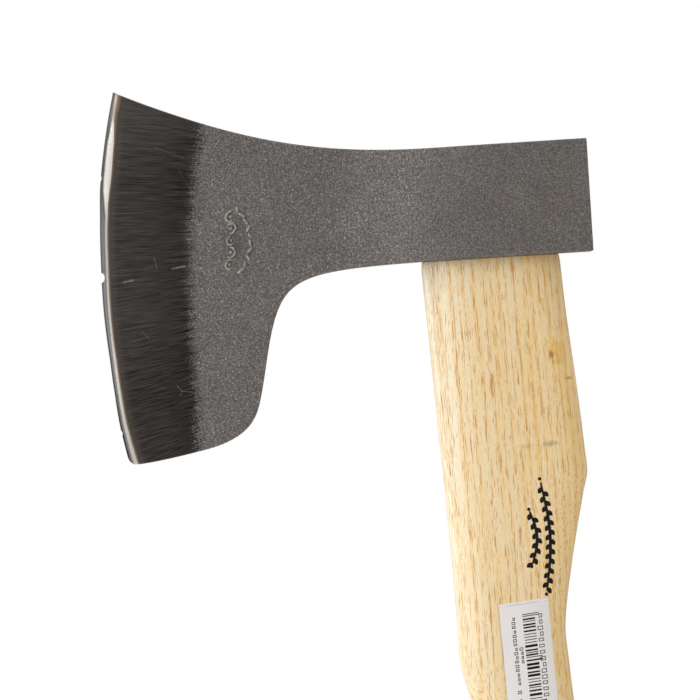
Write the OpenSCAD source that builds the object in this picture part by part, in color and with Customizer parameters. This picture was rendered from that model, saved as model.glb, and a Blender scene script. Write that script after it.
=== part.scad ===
// Bearded hatchet: a forged head with a square poll, hung on a curved ash handle.
//
// Head frame: x runs from the cutting edge (-x) to the poll (+x), y across the head, z up.
// Its zero is the centre of the eye on the head's underside. The part frame moves that zero
// to the middle of the hand grip, so the grip is the origin and the head stands above it.

/* [Head] */
// Distance from the eye's centre to the flat face of the poll
poll_x = 37; // [34:0.5:42]
// Height of the poll and of the eye
head_h = 40.5; // [38:0.5:46]
// Distance from the eye's centre to the middle of the cutting edge
edge_x = 140.5; // [134:0.5:150]
// Radius of the curved cutting edge
edge_r = 292; // [270:1:320]
// Height of the edge arc's middle above the head's underside
edge_mid_z = -5.5; // [-8:0.5:-2]
// Width of the honed bevel along the edge
bevel_w = 3.8; // [3:0.1:5]
// Depth of the ground cheek behind the edge
ground_w = 33; // [30:0.5:36]
// Thickness of the head across the eye
cheek_t = 39; // [37:0.5:42]
// Thickness of the poll at its flat face
poll_t = 37; // [35:0.5:40]

/* [Eye] */
// Length of the eye at the head's underside
eye_l = 46; // [44:0.5:47]
// Width of the eye at the head's underside
eye_w = 22; // [21:0.5:24]
// How much longer the eye is at the top
eye_flare_l = 2; // [1:0.25:2.5]
// How much wider the eye is at the top
eye_flare_w = 2.5; // [1:0.25:3]

/* [Wedges] */
// Thickness of the wooden wedge at the top of the eye
wood_wedge_t = 5; // [4:0.5:6]
// Depth that the wooden wedge reaches into the tenon
wood_wedge_d = 30; // [26:1:34]
// Thickness of each steel wedge at its head
steel_wedge_t = 3.2; // [2.5:0.1:4]
// Width of each steel wedge
steel_wedge_w = 19; // [16:0.5:20]
// Depth that each steel wedge reaches into the tenon
steel_wedge_d = 22; // [18:1:26]
// Distance of each steel wedge from the eye's centre
steel_wedge_x = 11.5; // [10:0.5:12]
// Turn of the steel wedges from square across the eye
steel_wedge_turn = 22; // [0:1:30]

/* [Handle] */
// Squareness of the oval section: 2 is an ellipse, more is boxier
oval = 2.5; // [2.1:0.1:3]
// Distance from the head's underside down to the middle of the grip
grip_z = 250; // [240:1:260]
// Offset of the grip's middle behind the eye's centre
grip_x = 10; // [8:0.5:12]
// Slant of the flat butt
butt_slant = 18; // [10:1:22]

/* [Label] */
// Width of the paper label
label_w = 18; // [16:0.5:20]
// Length of the paper label along the handle
label_l = 40; // [36:0.5:44]
// Thickness of the paper
label_t = 0.15; // [0.1:0.01:0.2]
// Turn of the label on the handle
label_turn = 3; // [0:0.5:5]
// Distance from the head's underside down to the label's middle
label_z = 144.5; // [140:0.5:150]
// Distance of the label's middle from the eye's centre line
label_x = 5.2; // [3:0.1:6]

/* [Hidden] */

steel = "dimgray";
ash = "burlywood";
beech = "peru";
paper = "whitesmoke";

arc_steps = 12;        // straight spans in each curved stretch of the head's outline
turn_fn = 180;         // fineness of the head's surface of revolution
spare = 4;             // how far a cutting tool runs past what it cuts
recess = 0.2;          // the wood and wedges end this far below the head's top
tenon_top = head_h - recess;
ring_points = 36;      // points round each oval section
ring_step = 8;         // spacing of the handle's sections
label_gap = 0.04;      // glue line between the label and the wood
label_across = 9;      // spans across the label
label_along = 16;      // spans along the label

// The centre that the cutting edge and all the cheek facets turn about.
arc_x = edge_r - edge_x;

// Top corner (toe) and bottom corner (heel) of the cutting edge.
toe_z = 68;
heel_z = -66;
function edge_at(z) = arc_x - sqrt(pow(edge_r, 2) - pow(z - edge_mid_z, 2));

// --- Outline of the head, seen from the side -------------------------------------------

function lerp(a, b, t) = a + (b - a) * t;

// A cubic Bezier span from a to d, without its last point.
function bezier(a, b, c, d) = [
    for (i = [0 : arc_steps - 1])
        let (t = i / arc_steps, s = 1 - t)
        s * s * s * a + 3 * s * s * t * b + 3 * s * t * t * c + t * t * t * d
];

toe = [edge_at(toe_z), toe_z];
heel = [edge_at(heel_z + 2) + 0.4, heel_z + 0.5];

function head_outline() = concat(
    // the poll, then the flat top over the eye
    [[poll_x, 0], [poll_x, head_h]],
    // the top line sweeps up to the toe
    bezier([-18, head_h], [-58, head_h], [-88, 47], toe),
    // the cutting edge, from the toe down to the heel
    [for (i = [0 : 2 * arc_steps])
        let (z = lerp(toe_z, heel_z + 4, i / (2 * arc_steps)))
        [edge_at(z), z]],
    // the heel, and the beard's lower edge
    bezier(heel, [-131, heel_z], [-118, -65], [-104, -62]),
    // the beard's rounded corner
    bezier([-104, -62], [-92, -59], [-88, -54], [-86, -47]),
    // up the back of the beard and round under the neck
    bezier([-86, -47], [-83, -36], [-82, -27], [-79, -18]),
    bezier([-79, -18], [-73.5, -2.5], [-66, -0.5], [-25, 0])
);

// --- Thickness of the head, seen from above --------------------------------------------
// Each pair is the distance back from the cutting edge and half the thickness there.
half_neck = 9.6;
half_plan = [
    [0, 0],
    [bevel_w, 1.0],
    [12, 1.9],
    [ground_w, 4.2],
    [60, 6.9],
    [86, half_neck],
    [101, 12.6],
    [114, 15.8],
    [124, 17.9],
    [134, cheek_t / 2 - 0.3],
    [144, cheek_t / 2],
    [158, cheek_t / 2 - 0.1],
    [edge_x + poll_x + 1, poll_t / 2]
];

// Half the plan turned about the edge arc's centre line gives facets that follow the edge.
module head_facets() {
    side = [for (p = half_plan) [edge_r - p[0], p[1]]];
    far = [for (i = [len(half_plan) - 1 : -1 : 1]) [edge_r - half_plan[i][0], -half_plan[i][1]]];
    translate([arc_x, 0, edge_mid_z])
        rotate([90, 0, 0])
            rotate_extrude($fn = turn_fn)
                polygon(concat(side, far));
}

module head_side() {
    rotate([90, 0, 0])
        linear_extrude(cheek_t + 2 * spare, center = true)
            polygon(head_outline());
}

module axe_head() {
    color(steel)
        part_frame()
            difference() {
                intersection() {
                    head_side();
                    head_facets();
                }
                loft(eye_rings(-spare, head_h + spare));
            }
}

// --- Oval sections and lofts -----------------------------------------------------------

function signed_power(v, e) = sign(v) * pow(abs(v), e);

// One oval ring from x = front to x = back, w wide, at height z, its back tipped down by slant.
function ring(z, front, back, w, slant = 0) = [
    for (i = [0 : ring_points - 1])
        let (
            a = 360 * i / ring_points,
            u = (back - front) / 2 * signed_power(cos(a), 2 / oval),
            v = w / 2 * signed_power(sin(a), 2 / oval)
        )
        [(front + back) / 2 + u * cos(slant), v, z - u * sin(slant)]
];

// A closed skin over a stack of rings, listed from the top down.
module loft(rings) {
    n = ring_points;
    last = len(rings) - 1;
    polyhedron(
        points = [for (r = rings) each r],
        faces = concat(
            [[for (i = [n - 1 : -1 : 0]) i]],
            [for (k = [0 : last - 1], i = [0 : n - 1])
                let (j = (i + 1) % n)
                each [
                    [k * n + i, k * n + j, (k + 1) * n + j],
                    [k * n + i, (k + 1) * n + j, (k + 1) * n + i]
                ]],
            [[for (i = [0 : n - 1]) last * n + i]]
        )
    );
}

// The eye tapers, wider at the top, so that the wedged tenon can't pull out.
function eye_ring(z) =
    let (
        t = z / head_h,
        l = eye_l + eye_flare_l * t,
        w = eye_w + eye_flare_w * t
    )
    ring(z, -l / 2, l / 2, w);
function eye_rings(low, high) = [eye_ring(high), eye_ring(low)];

// --- Handle ----------------------------------------------------------------------------
// Each row: height, front of the section, back of the section, width, slant of the section.
stations = [
    [0, -24.6, 24.7, 26.4, 0],
    [-3, -24.9, 25.1, 27, 0],
    [-20, -24.2, 26, 27.4, 0],
    [-50, -23, 28.4, 28, 0],
    [-72, -22.1, 29.8, 28.2, 0],
    [-79, -21.8, 30.1, 28, 0],
    [-86, -21.5, 28.3, 27.8, 0],
    [-110, -20.6, 22.8, 27, 0],
    [-133, -20.1, 18.8, 26.4, 0],
    [-146, -19.8, 19.2, 26, 0],
    [-158, -16.9, 19.9, 25.8, 0],
    [-175, -12, 21.2, 25.6, 0],
    [-200, -8.4, 23.2, 25.4, 0],
    [-240, -5.4, 25.6, 25.2, 0],
    [-280, -5, 26.4, 25.6, 2],
    [-320, -7.4, 25.4, 26.6, 6],
    [-350, -12, 24, 28, 10],
    [-376, -19.5, 23.2, 29.4, 14],
    [-394, -25.6, 22.4, 30, butt_slant],
    [-404, -26.4, 20.6, 29, butt_slant],
    [-409, -24.2, 17.6, 26, butt_slant]
];
last_station = len(stations) - 1;

// Slope of the stations' values at station k, for a smooth curve through them all.
function slope(k) =
    let (a = max(k - 1, 0), b = min(k + 1, last_station))
    (stations[b] - stations[a]) / (stations[b][0] - stations[a][0]);

// All five values at height z, on a cubic curve between the stations above and below.
function station_at(z, k = 0) =
    k < last_station - 1 && z < stations[k + 1][0] ? station_at(z, k + 1) :
    let (
        a = stations[k],
        b = stations[k + 1],
        d = b[0] - a[0],
        t = (z - a[0]) / d,
        t2 = t * t,
        t3 = t2 * t
    )
    (2 * t3 - 3 * t2 + 1) * a + (t3 - 2 * t2 + t) * d * slope(k)
        + (3 * t2 - 2 * t3) * b + (t3 - t2) * d * slope(k + 1);

function handle_ring(z) = let (s = station_at(z)) ring(z, s[1], s[2], s[3], s[4]);

// Every station gets a section, and so does every ring_step between two of them.
function handle_levels() = [
    for (k = [0 : last_station - 1])
        let (
            a = stations[k][0],
            b = stations[k + 1][0],
            n = max(1, round((a - b) / ring_step))
        )
        each [for (i = [0 : n - 1]) lerp(a, b, i / n)],
    stations[last_station][0]
];

module handle() {
    color(ash)
        part_frame()
            difference() {
                loft(concat(eye_rings(0, tenon_top), [for (z = handle_levels()) handle_ring(z)]));
                wedge_prism(wood_wedge_t, eye_l + 2 * spare, wood_wedge_d);
                steel_wedge_pair();
            }
}

// --- Wedges ----------------------------------------------------------------------------

// A tapered slip, t thick at the top and blunt at its tip, w wide, reaching d down the tenon.
module wedge_prism(t, w, d) {
    tip = t / 5;
    translate([0, 0, tenon_top])
        rotate([90, 0, 90])
            linear_extrude(w, center = true)
                polygon([[-t / 2, 0], [-tip / 2, -d], [tip / 2, -d], [t / 2, 0]]);
}

module wooden_wedge() {
    color(beech)
        part_frame()
            difference() {
                intersection() {
                    loft(eye_rings(0, tenon_top));
                    wedge_prism(wood_wedge_t, eye_l + 2 * spare, wood_wedge_d);
                }
                steel_wedge_pair();
            }
}

module steel_wedge_pair() {
    for (side = [-1, 1])
        translate([side * steel_wedge_x, 0, 0])
            rotate([0, 0, 90 + steel_wedge_turn])
                wedge_prism(steel_wedge_t, steel_wedge_w, steel_wedge_d);
}

module steel_wedges() {
    color("silver")
        part_frame()
            steel_wedge_pair();
}

// --- Label -----------------------------------------------------------------------------

// The wood's near surface at (x, z), pushed out by off.
function wood_y(x, z, off) =
    let (
        s = station_at(z),
        a = (s[2] - s[1]) / 2,
        u = abs(x - (s[1] + s[2]) / 2) / a
    )
    -s[3] / 2 * pow(1 - pow(u, oval), 1 / oval) - off;

// A point of the label, u from -1 to 1 across it and v from -1 to 1 up it.
function label_point(u, v, off) =
    let (
        a = u * label_w / 2,
        b = v * label_l / 2,
        x = label_x + a * cos(label_turn) - b * sin(label_turn),
        z = -label_z + a * sin(label_turn) + b * cos(label_turn)
    )
    [x, wood_y(x, z, off), z];

module barcode_label() {
    nu = label_across + 1;
    nv = label_along + 1;
    layer = nu * nv;
    // a rim of point numbers once round the sheet, for its cut edge
    rim = concat(
        [for (i = [0 : nu - 2]) i],
        [for (k = [0 : nv - 2]) k * nu + nu - 1],
        [for (i = [nu - 1 : -1 : 1]) (nv - 1) * nu + i],
        [for (k = [nv - 1 : -1 : 1]) k * nu]
    );
    color(paper)
        part_frame()
            polyhedron(
                points = [
                    for (off = [label_gap, label_gap + label_t])
                        for (k = [0 : nv - 1], i = [0 : nu - 1])
                            label_point(2 * i / (nu - 1) - 1, 2 * k / (nv - 1) - 1, off)
                ],
                faces = concat(
                    [for (k = [0 : nv - 2], i = [0 : nu - 2])
                        let (p = k * nu + i)
                        each [
                            [p, p + 1, p + nu + 1], [p, p + nu + 1, p + nu],
                            [layer + p, layer + p + nu + 1, layer + p + 1],
                            [layer + p, layer + p + nu, layer + p + nu + 1]
                        ]],
                    [for (i = [0 : len(rim) - 1])
                        let (p = rim[i], q = rim[(i + 1) % len(rim)])
                        each [[p, layer + p, layer + q], [p, layer + q, q]]]
                )
            );
}

// Moves a piece from the head frame to the part frame, whose origin is the grip's middle.
module part_frame() {
    translate([-grip_x, 0, grip_z])
        children();
}

axe_head();
handle();
wooden_wedge();
steel_wedges();
barcode_label();
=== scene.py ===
"""Looks of a bearded hatchet: forged head, ash handle, wedges, paper label and inked sprigs.

Shapes are worked out in millimetres in the head frame. Its zero is the centre of the eye on the
head's underside, x runs from the cutting edge to the poll, y goes away from the labelled side and
z goes up. Datum.place() turns such points into metres in the part frame.
"""

import logging
import math
from collections.abc import Sequence
from dataclasses import dataclass, field, replace
from enum import Enum
from typing import ClassVar

import bpy
import numpy as np
from mathutils import Matrix, Vector


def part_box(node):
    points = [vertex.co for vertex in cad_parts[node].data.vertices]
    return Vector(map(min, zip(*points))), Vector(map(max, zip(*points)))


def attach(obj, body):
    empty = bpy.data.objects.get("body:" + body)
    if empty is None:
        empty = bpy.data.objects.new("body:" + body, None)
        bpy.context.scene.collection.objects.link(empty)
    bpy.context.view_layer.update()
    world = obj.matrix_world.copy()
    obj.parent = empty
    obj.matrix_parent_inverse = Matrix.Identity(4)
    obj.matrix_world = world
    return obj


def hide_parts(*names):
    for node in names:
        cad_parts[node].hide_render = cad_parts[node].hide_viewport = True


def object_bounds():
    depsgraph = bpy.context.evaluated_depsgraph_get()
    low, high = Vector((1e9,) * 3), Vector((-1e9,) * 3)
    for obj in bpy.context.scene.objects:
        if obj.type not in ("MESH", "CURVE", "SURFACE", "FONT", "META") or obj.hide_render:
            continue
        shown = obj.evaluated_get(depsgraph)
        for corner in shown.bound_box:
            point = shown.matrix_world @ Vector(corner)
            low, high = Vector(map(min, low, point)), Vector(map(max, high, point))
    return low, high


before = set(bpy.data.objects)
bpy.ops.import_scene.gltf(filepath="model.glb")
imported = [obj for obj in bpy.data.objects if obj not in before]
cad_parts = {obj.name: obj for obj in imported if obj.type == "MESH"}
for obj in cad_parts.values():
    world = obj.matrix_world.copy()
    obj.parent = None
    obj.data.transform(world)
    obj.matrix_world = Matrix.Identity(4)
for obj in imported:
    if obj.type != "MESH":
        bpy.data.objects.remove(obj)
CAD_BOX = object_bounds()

LOG = logging.getLogger("hatchet")
BODY = "root"
MM = 0.001
DISPLAY_GAMMA = 2.2

Array = np.ndarray
Colour = tuple[float, float, float, float]
Skin = tuple[Array, list[Array]]
Piece = bpy.types.Object
Socket = bpy.types.NodeSocket
Sockets = dict[str, Socket]
Feed = Socket | float | Sequence[float]
Feeds = dict[str, Feed]
Limits = tuple[float, ...]


# --- Numbers ------------------------------------------------------------------------------


def paint(red: int, green: int, blue: int) -> Colour:
    """A colour given on the usual 0 to 255 display scale, as the linear colour that shaders take."""
    shares = (np.array([red, green, blue]) / 255.0) ** DISPLAY_GAMMA
    return (*(float(s) for s in shares), 1.0)


def smoothstep(low: float, high: float, value: Array) -> Array:
    """0 below low, 1 above high, and an S-shaped rise in between."""
    t = np.clip((value - low) / (high - low), 0.0, 1.0)
    return t * t * (3 - 2 * t)


def lerp(start: Array | float, end: Array | float, share: Array | float) -> Array | float:
    """The value that lies at share of the way from start to end."""
    return start + (end - start) * share


def bezier(points: Sequence[tuple[float, float]], count: int) -> Array:
    """A cubic Bezier span: each point is the sum of the four corners times their Bernstein shares.

    Args:
        points: the start, the two handles and the end.
        count: how many points the span gets, both ends included.

    Returns:
        An array of count rows of x and z.
    """
    t = np.linspace(0, 1, count)[:, None]
    s = 1 - t
    a, b, c, d = np.array(points, float)
    return s**3 * a + 3 * s * s * t * b + 3 * s * t * t * c + t**3 * d


def knot_curve(knots: Array, values: Array, at: Array) -> Array:
    """A smooth curve through knots: cubic Hermite spans, whose slope at a knot is that of the
    line between its two neighbours.

    Args:
        knots: rising positions of the knots.
        values: one row of values for each knot.
        at: positions to work the curve out at.

    Returns:
        One row of values for each position.
    """
    slopes = np.empty_like(values)
    slopes[1:-1] = (values[2:] - values[:-2]) / (knots[2:] - knots[:-2])[:, None]
    slopes[0] = (values[1] - values[0]) / (knots[1] - knots[0])
    slopes[-1] = (values[-1] - values[-2]) / (knots[-1] - knots[-2])
    span = np.clip(np.searchsorted(knots, at, side="right") - 1, 0, len(knots) - 2)
    width = (knots[span + 1] - knots[span])[:, None]
    t = ((at - knots[span])[:, None]) / width
    return (
        (2 * t**3 - 3 * t**2 + 1) * values[span]
        + (t**3 - 2 * t**2 + t) * width * slopes[span]
        + (3 * t**2 - 2 * t**3) * values[span + 1]
        + (t**3 - t**2) * width * slopes[span + 1]
    )


@dataclass(frozen=True)
class Knots:
    """A broken line: places in rising order, and a value at each."""

    pairs: tuple[tuple[float, float], ...]

    @property
    def span(self) -> tuple[float, float]:
        """The first and the last place."""
        return self.pairs[0][0], self.pairs[-1][0]

    @property
    def reach(self) -> tuple[float, float]:
        """The smallest and the largest value."""
        values = [value for _, value in self.pairs]
        return min(values), max(values)

    @property
    def shares(self) -> list[tuple[float, float]]:
        """The knots with places as shares of the span, and values as shares of the reach."""
        (low, high), (least, most) = self.span, self.reach
        return [((place - low) / (high - low), (v - least) / (most - least)) for place, v in self.pairs]

    def at(self, place: Array) -> Array:
        """The line's value at some places."""
        return np.interp(place, *np.array(self.pairs).T)


def signed_power(value: Array, power: float) -> Array:
    """The power of a value's size, with the value's own sign."""
    return np.sign(value) * np.abs(value) ** power


# --- Meshes -------------------------------------------------------------------------------


def grid_quads(index: Array, turned: bool = False) -> Array:
    """One quad for each cell of a grid of point numbers."""
    quads = np.stack([index[:-1, :-1], index[:-1, 1:], index[1:, 1:], index[1:, :-1]], -1)
    quads = quads.reshape(-1, 4)
    return quads[:, ::-1] if turned else quads


def ring_skin(rings: Array) -> Skin:
    """A closed skin over a stack of rings. Each ring is its own mirror image about the line from
    its first point to its middle one, so an end is closed by quads straight across that line.

    Args:
        rings: points, as an array of levels x points round x 3.

    Returns:
        The points, and the arrays of faces.
    """
    levels, count = rings.shape[:2]
    index = np.arange(levels * count).reshape(levels, count)
    walls = grid_quads(np.concatenate([index, index[:, :1]], axis=1))
    i = np.arange(1, count // 2 - 1)
    half = count // 2
    across = np.stack([i, i + 1, count - i - 1, count - i], -1)
    points = np.array([[0, 1, count - 1], [half - 1, half, half + 1]])
    last = (levels - 1) * count
    faces = [walls, across, points, across[:, ::-1] + last, points[:, ::-1] + last]
    return rings.reshape(-1, 3), faces


def slab_skin(upper: Array, lower: Array) -> Skin:
    """A closed thin slab between two grids of points that lie over one another.

    Args:
        upper: points of the outer face, as rows x columns x 3.
        lower: points of the inner face, in the same order.

    Returns:
        The points, and the arrays of faces.
    """
    rows, columns = upper.shape[:2]
    index = np.arange(rows * columns).reshape(rows, columns)
    rim = np.concatenate([index[0, :-1], index[:-1, -1], index[-1, :0:-1], index[:0:-1, 0]])
    after = np.roll(rim, -1)
    layer = rows * columns
    sides = np.stack([after, rim, rim + layer, after + layer], -1)
    points = np.concatenate([upper.reshape(-1, 3), lower.reshape(-1, 3)])
    return points, [grid_quads(index), grid_quads(index, True) + layer, sides]


def bead_skin(around: int = 14, up: int = 8) -> Skin:
    """A closed ball of radius 1, flattened later into a raised bead: points are at
    (cos a sin b, sin a sin b, cos b), with one pole point at each end."""
    a = np.linspace(0, 2 * np.pi, around, endpoint=False)
    b = np.linspace(0, np.pi, up + 1)[1:-1]
    grid = np.stack(
        [
            np.cos(a)[None, :] * np.sin(b)[:, None],
            np.sin(a)[None, :] * np.sin(b)[:, None],
            np.repeat(np.cos(b)[:, None], around, axis=1),
        ],
        -1,
    )
    index = np.arange(grid.shape[0] * around).reshape(-1, around)
    loop = np.concatenate([index, index[:, :1]], axis=1)
    north, south = index.size, index.size + 1
    top = np.stack([loop[0, 1:], loop[0, :-1], np.full(around, north)], -1)
    bottom = np.stack([loop[-1, :-1], loop[-1, 1:], np.full(around, south)], -1)
    points = np.concatenate([grid.reshape(-1, 3), [[0, 0, 1], [0, 0, -1]]])
    return points, [grid_quads(loop), top[:, ::-1], bottom[:, ::-1]]


def signed_volume(points: Array, faces: Sequence[Array]) -> float:
    """The volume inside a closed skin, by the sum over its triangles of the box product of their
    corners. It is negative where the faces point inwards."""
    total = 0.0
    for group in faces:
        corners = points[group]
        for k in range(1, group.shape[1] - 1):
            turned = np.cross(corners[:, k], corners[:, k + 1])
            total += float(np.einsum("ij,ij->", corners[:, 0], turned)) / 6
    return total


@dataclass(frozen=True)
class Datum:
    """Where the head frame's zero lies in the part frame, in metres."""

    x: float
    z: float

    @classmethod
    def from_frame(cls, wedge_top: float) -> "Datum":
        """Finds the zero from the wooden wedge, which fills the eye from end to end.

        Args:
            wedge_top: height of the wedge's top over the head's underside, in millimetres.
        """
        low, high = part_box("wooden_wedge")
        return cls((low.x + high.x) / 2, high.z - wedge_top * MM)

    def place(self, points: Array) -> Array:
        """Points in millimetres in the head frame, as metres in the part frame."""
        return points * MM + np.array([self.x, 0.0, self.z])


@dataclass
class Skins:
    """Closed skins gathered into one mesh, in millimetres in the head frame."""

    points: list[Array] = field(default_factory=list)
    faces: list[list[int]] = field(default_factory=list)
    count: int = 0

    def add(self, points: Array, faces: Sequence[Array]) -> None:
        """Adds one closed skin, turned inside out first if its faces point inwards."""
        inward = signed_volume(points, faces) < 0
        for group in faces:
            group = group[:, ::-1] if inward else group
            self.faces.extend((group + self.count).tolist())
        self.points.append(points)
        self.count += len(points)

    def build(self, name: str, datum: Datum) -> Piece:
        """Makes the mesh object, smooth all over, with its place in its mesh."""
        mesh = bpy.data.meshes.new(name)
        points = datum.place(np.concatenate(self.points))
        mesh.from_pydata(points.tolist(), [], self.faces)
        smooth(mesh)
        mesh.update()
        piece = bpy.data.objects.new(name, mesh)
        bpy.context.scene.collection.objects.link(piece)
        return piece


def skin_piece(skin: Skin, name: str, datum: Datum) -> Piece:
    """One closed skin as a mesh object."""
    skins = Skins()
    skins.add(*skin)
    return skins.build(name, datum)


def smooth(mesh: bpy.types.Mesh) -> None:
    """Shades every face of a mesh smooth."""
    mesh.polygons.foreach_set("use_smooth", np.ones(len(mesh.polygons), bool))


def cut_away(piece: Piece, tool: Piece, keep_inside: bool = False) -> None:
    """Takes the tool's shape out of the piece, or all that lies outside it, and deletes the
    tool."""
    cut = piece.modifiers.new("cut", "BOOLEAN")
    cut.operation = "INTERSECT" if keep_inside else "DIFFERENCE"
    cut.solver = "EXACT"
    cut.object = tool
    settle(piece)
    mesh = tool.data
    bpy.data.objects.remove(tool)
    bpy.data.meshes.remove(mesh)


def settle(piece: Piece) -> None:
    """Turns a piece's modifiers into plain mesh."""
    graph = bpy.context.evaluated_depsgraph_get()
    done = bpy.data.meshes.new_from_object(piece.evaluated_get(graph))
    old = piece.data
    piece.modifiers.clear()
    piece.data = done
    bpy.data.meshes.remove(old)
    done.name = piece.name


def crease(piece: Piece, degrees: float = 34.0) -> None:
    """Marks the edges that bend more than an angle as sharp, so that shading breaks there."""
    piece.data.set_sharp_from_angle(angle=math.radians(degrees))


def hand_over(piece: Piece, slot: str, *stands_for: str) -> Piece:
    """Fastens a piece to the hatchet and hides the CAD nodes it stands for."""
    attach(piece, BODY)
    if stands_for:
        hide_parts(*stands_for)
    return piece


# --- Shader building ----------------------------------------------------------------------


class Nodes:
    """Adds shader nodes to one tree and joins them."""

    def __init__(self, tree: bpy.types.NodeTree) -> None:
        """Keeps the tree that the nodes go into."""
        self.tree = tree

    def add(self, kind: str, **settings: object) -> bpy.types.Node:
        """Adds a node and sets its own settings."""
        node = self.tree.nodes.new(kind)
        for name, value in settings.items():
            setattr(node, name, value)
        return node

    def feed(self, socket: Socket, value: Feed) -> None:
        """Joins another node's output to a socket, or sets a plain value on it."""
        if isinstance(value, bpy.types.NodeSocket):
            self.tree.links.new(value, socket)
        else:
            socket.default_value = value

    def feed_all(self, node: bpy.types.Node, *values: Feed) -> bpy.types.Node:
        """Feeds a node's first inputs, in order, and returns the node."""
        for socket, value in zip(node.inputs, values):
            self.feed(socket, value)
        return node

    def math(self, operation: str, *values: Feed, clamp: bool = False) -> Socket:
        """One Math node over the values."""
        node = self.add("ShaderNodeMath", operation=operation, use_clamp=clamp)
        return self.feed_all(node, *values).outputs[0]

    def plus(self, first: Feed, *others: Feed, clamp: bool = False) -> Socket:
        """The sum of the values, added one after another, and clamped at the end if wanted."""
        *middle, last = others
        for value in middle:
            first = self.math("ADD", first, value)
        return self.math("ADD", first, last, clamp=clamp)

    def minus(self, first: Feed, second: Feed, clamp: bool = False) -> Socket:
        """The first value less the second."""
        return self.math("SUBTRACT", first, second, clamp=clamp)

    def times(self, first: Feed, second: Feed) -> Socket:
        """The product of two values."""
        return self.math("MULTIPLY", first, second)

    def vector(self, operation: str, *values: Feed) -> Socket:
        """One Vector Math node over the values."""
        node = self.feed_all(self.add("ShaderNodeVectorMath", operation=operation), *values)
        return node.outputs["Value" if operation in ("LENGTH", "DOT_PRODUCT") else "Vector"]

    def split(self, vector: Feed) -> tuple[Socket, Socket, Socket]:
        """The three parts of a vector."""
        node = self.feed_all(self.add("ShaderNodeSeparateXYZ"), vector)
        return node.outputs[0], node.outputs[1], node.outputs[2]

    def join(self, x: Feed, y: Feed, z: Feed) -> Socket:
        """A vector made of three values."""
        return self.feed_all(self.add("ShaderNodeCombineXYZ"), x, y, z).outputs[0]

    def noise(self, vector: Feed, detail: float = 2.0, roughness: float = 0.5) -> Socket:
        """Noise from 0 to 1 with features about one unit of the vector across."""
        node = self.add("ShaderNodeTexNoise", noise_dimensions="3D")
        self.feed(node.inputs["Vector"], vector)
        node.inputs["Scale"].default_value = 1.0
        node.inputs["Detail"].default_value = detail
        node.inputs["Roughness"].default_value = roughness
        return node.outputs["Fac"]

    def cells(self, vector: Feed, feature: str = "F1") -> bpy.types.Node:
        """Cells about one unit of the vector across."""
        node = self.add("ShaderNodeTexVoronoi", feature=feature)
        self.feed(node.inputs["Vector"], vector)
        node.inputs["Scale"].default_value = 1.0
        return node

    def ramp(
        self,
        value: Feed,
        low: Feed,
        high: Feed,
        start: Feed = 0.0,
        end: Feed = 1.0,
        change: str = "SMOOTHSTEP",
    ) -> Socket:
        """start below low, end above high, and an S-shaped or a LINEAR change in between."""
        node = self.add("ShaderNodeMapRange", interpolation_type=change)
        return self.feed_all(node, value, low, high, start, end).outputs[0]

    def mix(self, share: Feed, first: Feed, second: Feed) -> Socket:
        """A value between two values."""
        node = self.add("ShaderNodeMix", data_type="FLOAT")
        for number, value in ((0, share), (2, first), (3, second)):
            self.feed(node.inputs[number], value)
        return node.outputs[0]

    def blend(self, share: Feed, first: Feed, second: Feed) -> Socket:
        """A colour between two colours."""
        node = self.add("ShaderNodeMix", data_type="RGBA")
        for number, value in ((0, share), (6, first), (7, second)):
            self.feed(node.inputs[number], value)
        return node.outputs[2]

    def curve(self, value: Feed, knots: "Knots") -> Socket:
        """A broken line through knots, the same as Knots.at() gives."""
        share = self.ramp(value, *knots.span, change="LINEAR")
        node = self.add("ShaderNodeFloatCurve")
        line = node.mapping.curves[0]
        for place, height in knots.shares[1:-1]:
            line.points.new(place, height)
        for point, (place, height) in zip(line.points, knots.shares):
            point.location = (place, height)
            point.handle_type = "VECTOR"
        node.mapping.update()
        self.feed(node.inputs["Value"], share)
        return self.mix(node.outputs[0], *knots.reach)

    def scaled(self, vector: Feed, *size: float) -> Socket:
        """A position divided by the size, in millimetres, that one unit is to have: one size, or
        one for each of x, y and z."""
        return self.vector("DIVIDE", vector, (size * 3)[:3])

    def bump(self, height: Feed) -> Socket:
        """A normal bent by a height in millimetres."""
        node = self.add("ShaderNodeBump")
        node.inputs["Strength"].default_value = 1.0
        node.inputs["Distance"].default_value = MM
        self.feed(node.inputs["Height"], height)
        return node.outputs["Normal"]


class SharedEffect:
    """A shader node group, built once, that each finish places with values of its own."""

    name: ClassVar[str]
    takes: ClassVar[dict[str, str]]
    gives: ClassVar[dict[str, str]]

    @staticmethod
    def wire(nodes: Nodes, given: Sockets) -> Feeds:
        """Builds the group's inside and returns what each output puts out."""
        raise NotImplementedError

    @classmethod
    def tree(cls) -> bpy.types.NodeTree:
        """The group's node tree, made the first time it is asked for."""
        made = bpy.data.node_groups.get(cls.name)
        if made is not None:
            return made
        made = bpy.data.node_groups.new(cls.name, "ShaderNodeTree")
        for side, sockets in (("INPUT", cls.takes), ("OUTPUT", cls.gives)):
            for name, kind in sockets.items():
                made.interface.new_socket(name=name, in_out=side, socket_type=f"NodeSocket{kind}")
        nodes = Nodes(made)
        inside = nodes.add("NodeGroupInput")
        outside = nodes.add("NodeGroupOutput")
        given = {name: inside.outputs[name] for name in cls.takes}
        for name, value in cls.wire(nodes, given).items():
            nodes.feed(outside.inputs[name], value)
        return made

    @classmethod
    def place(cls, nodes: Nodes, **values: Feed) -> Sockets:
        """Places the group in a tree and returns its outputs by name."""
        node = nodes.add("ShaderNodeGroup", node_tree=cls.tree())
        for name, value in values.items():
            nodes.feed(node.inputs[name], value)
        return {name: node.outputs[name] for name in cls.gives}


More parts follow.
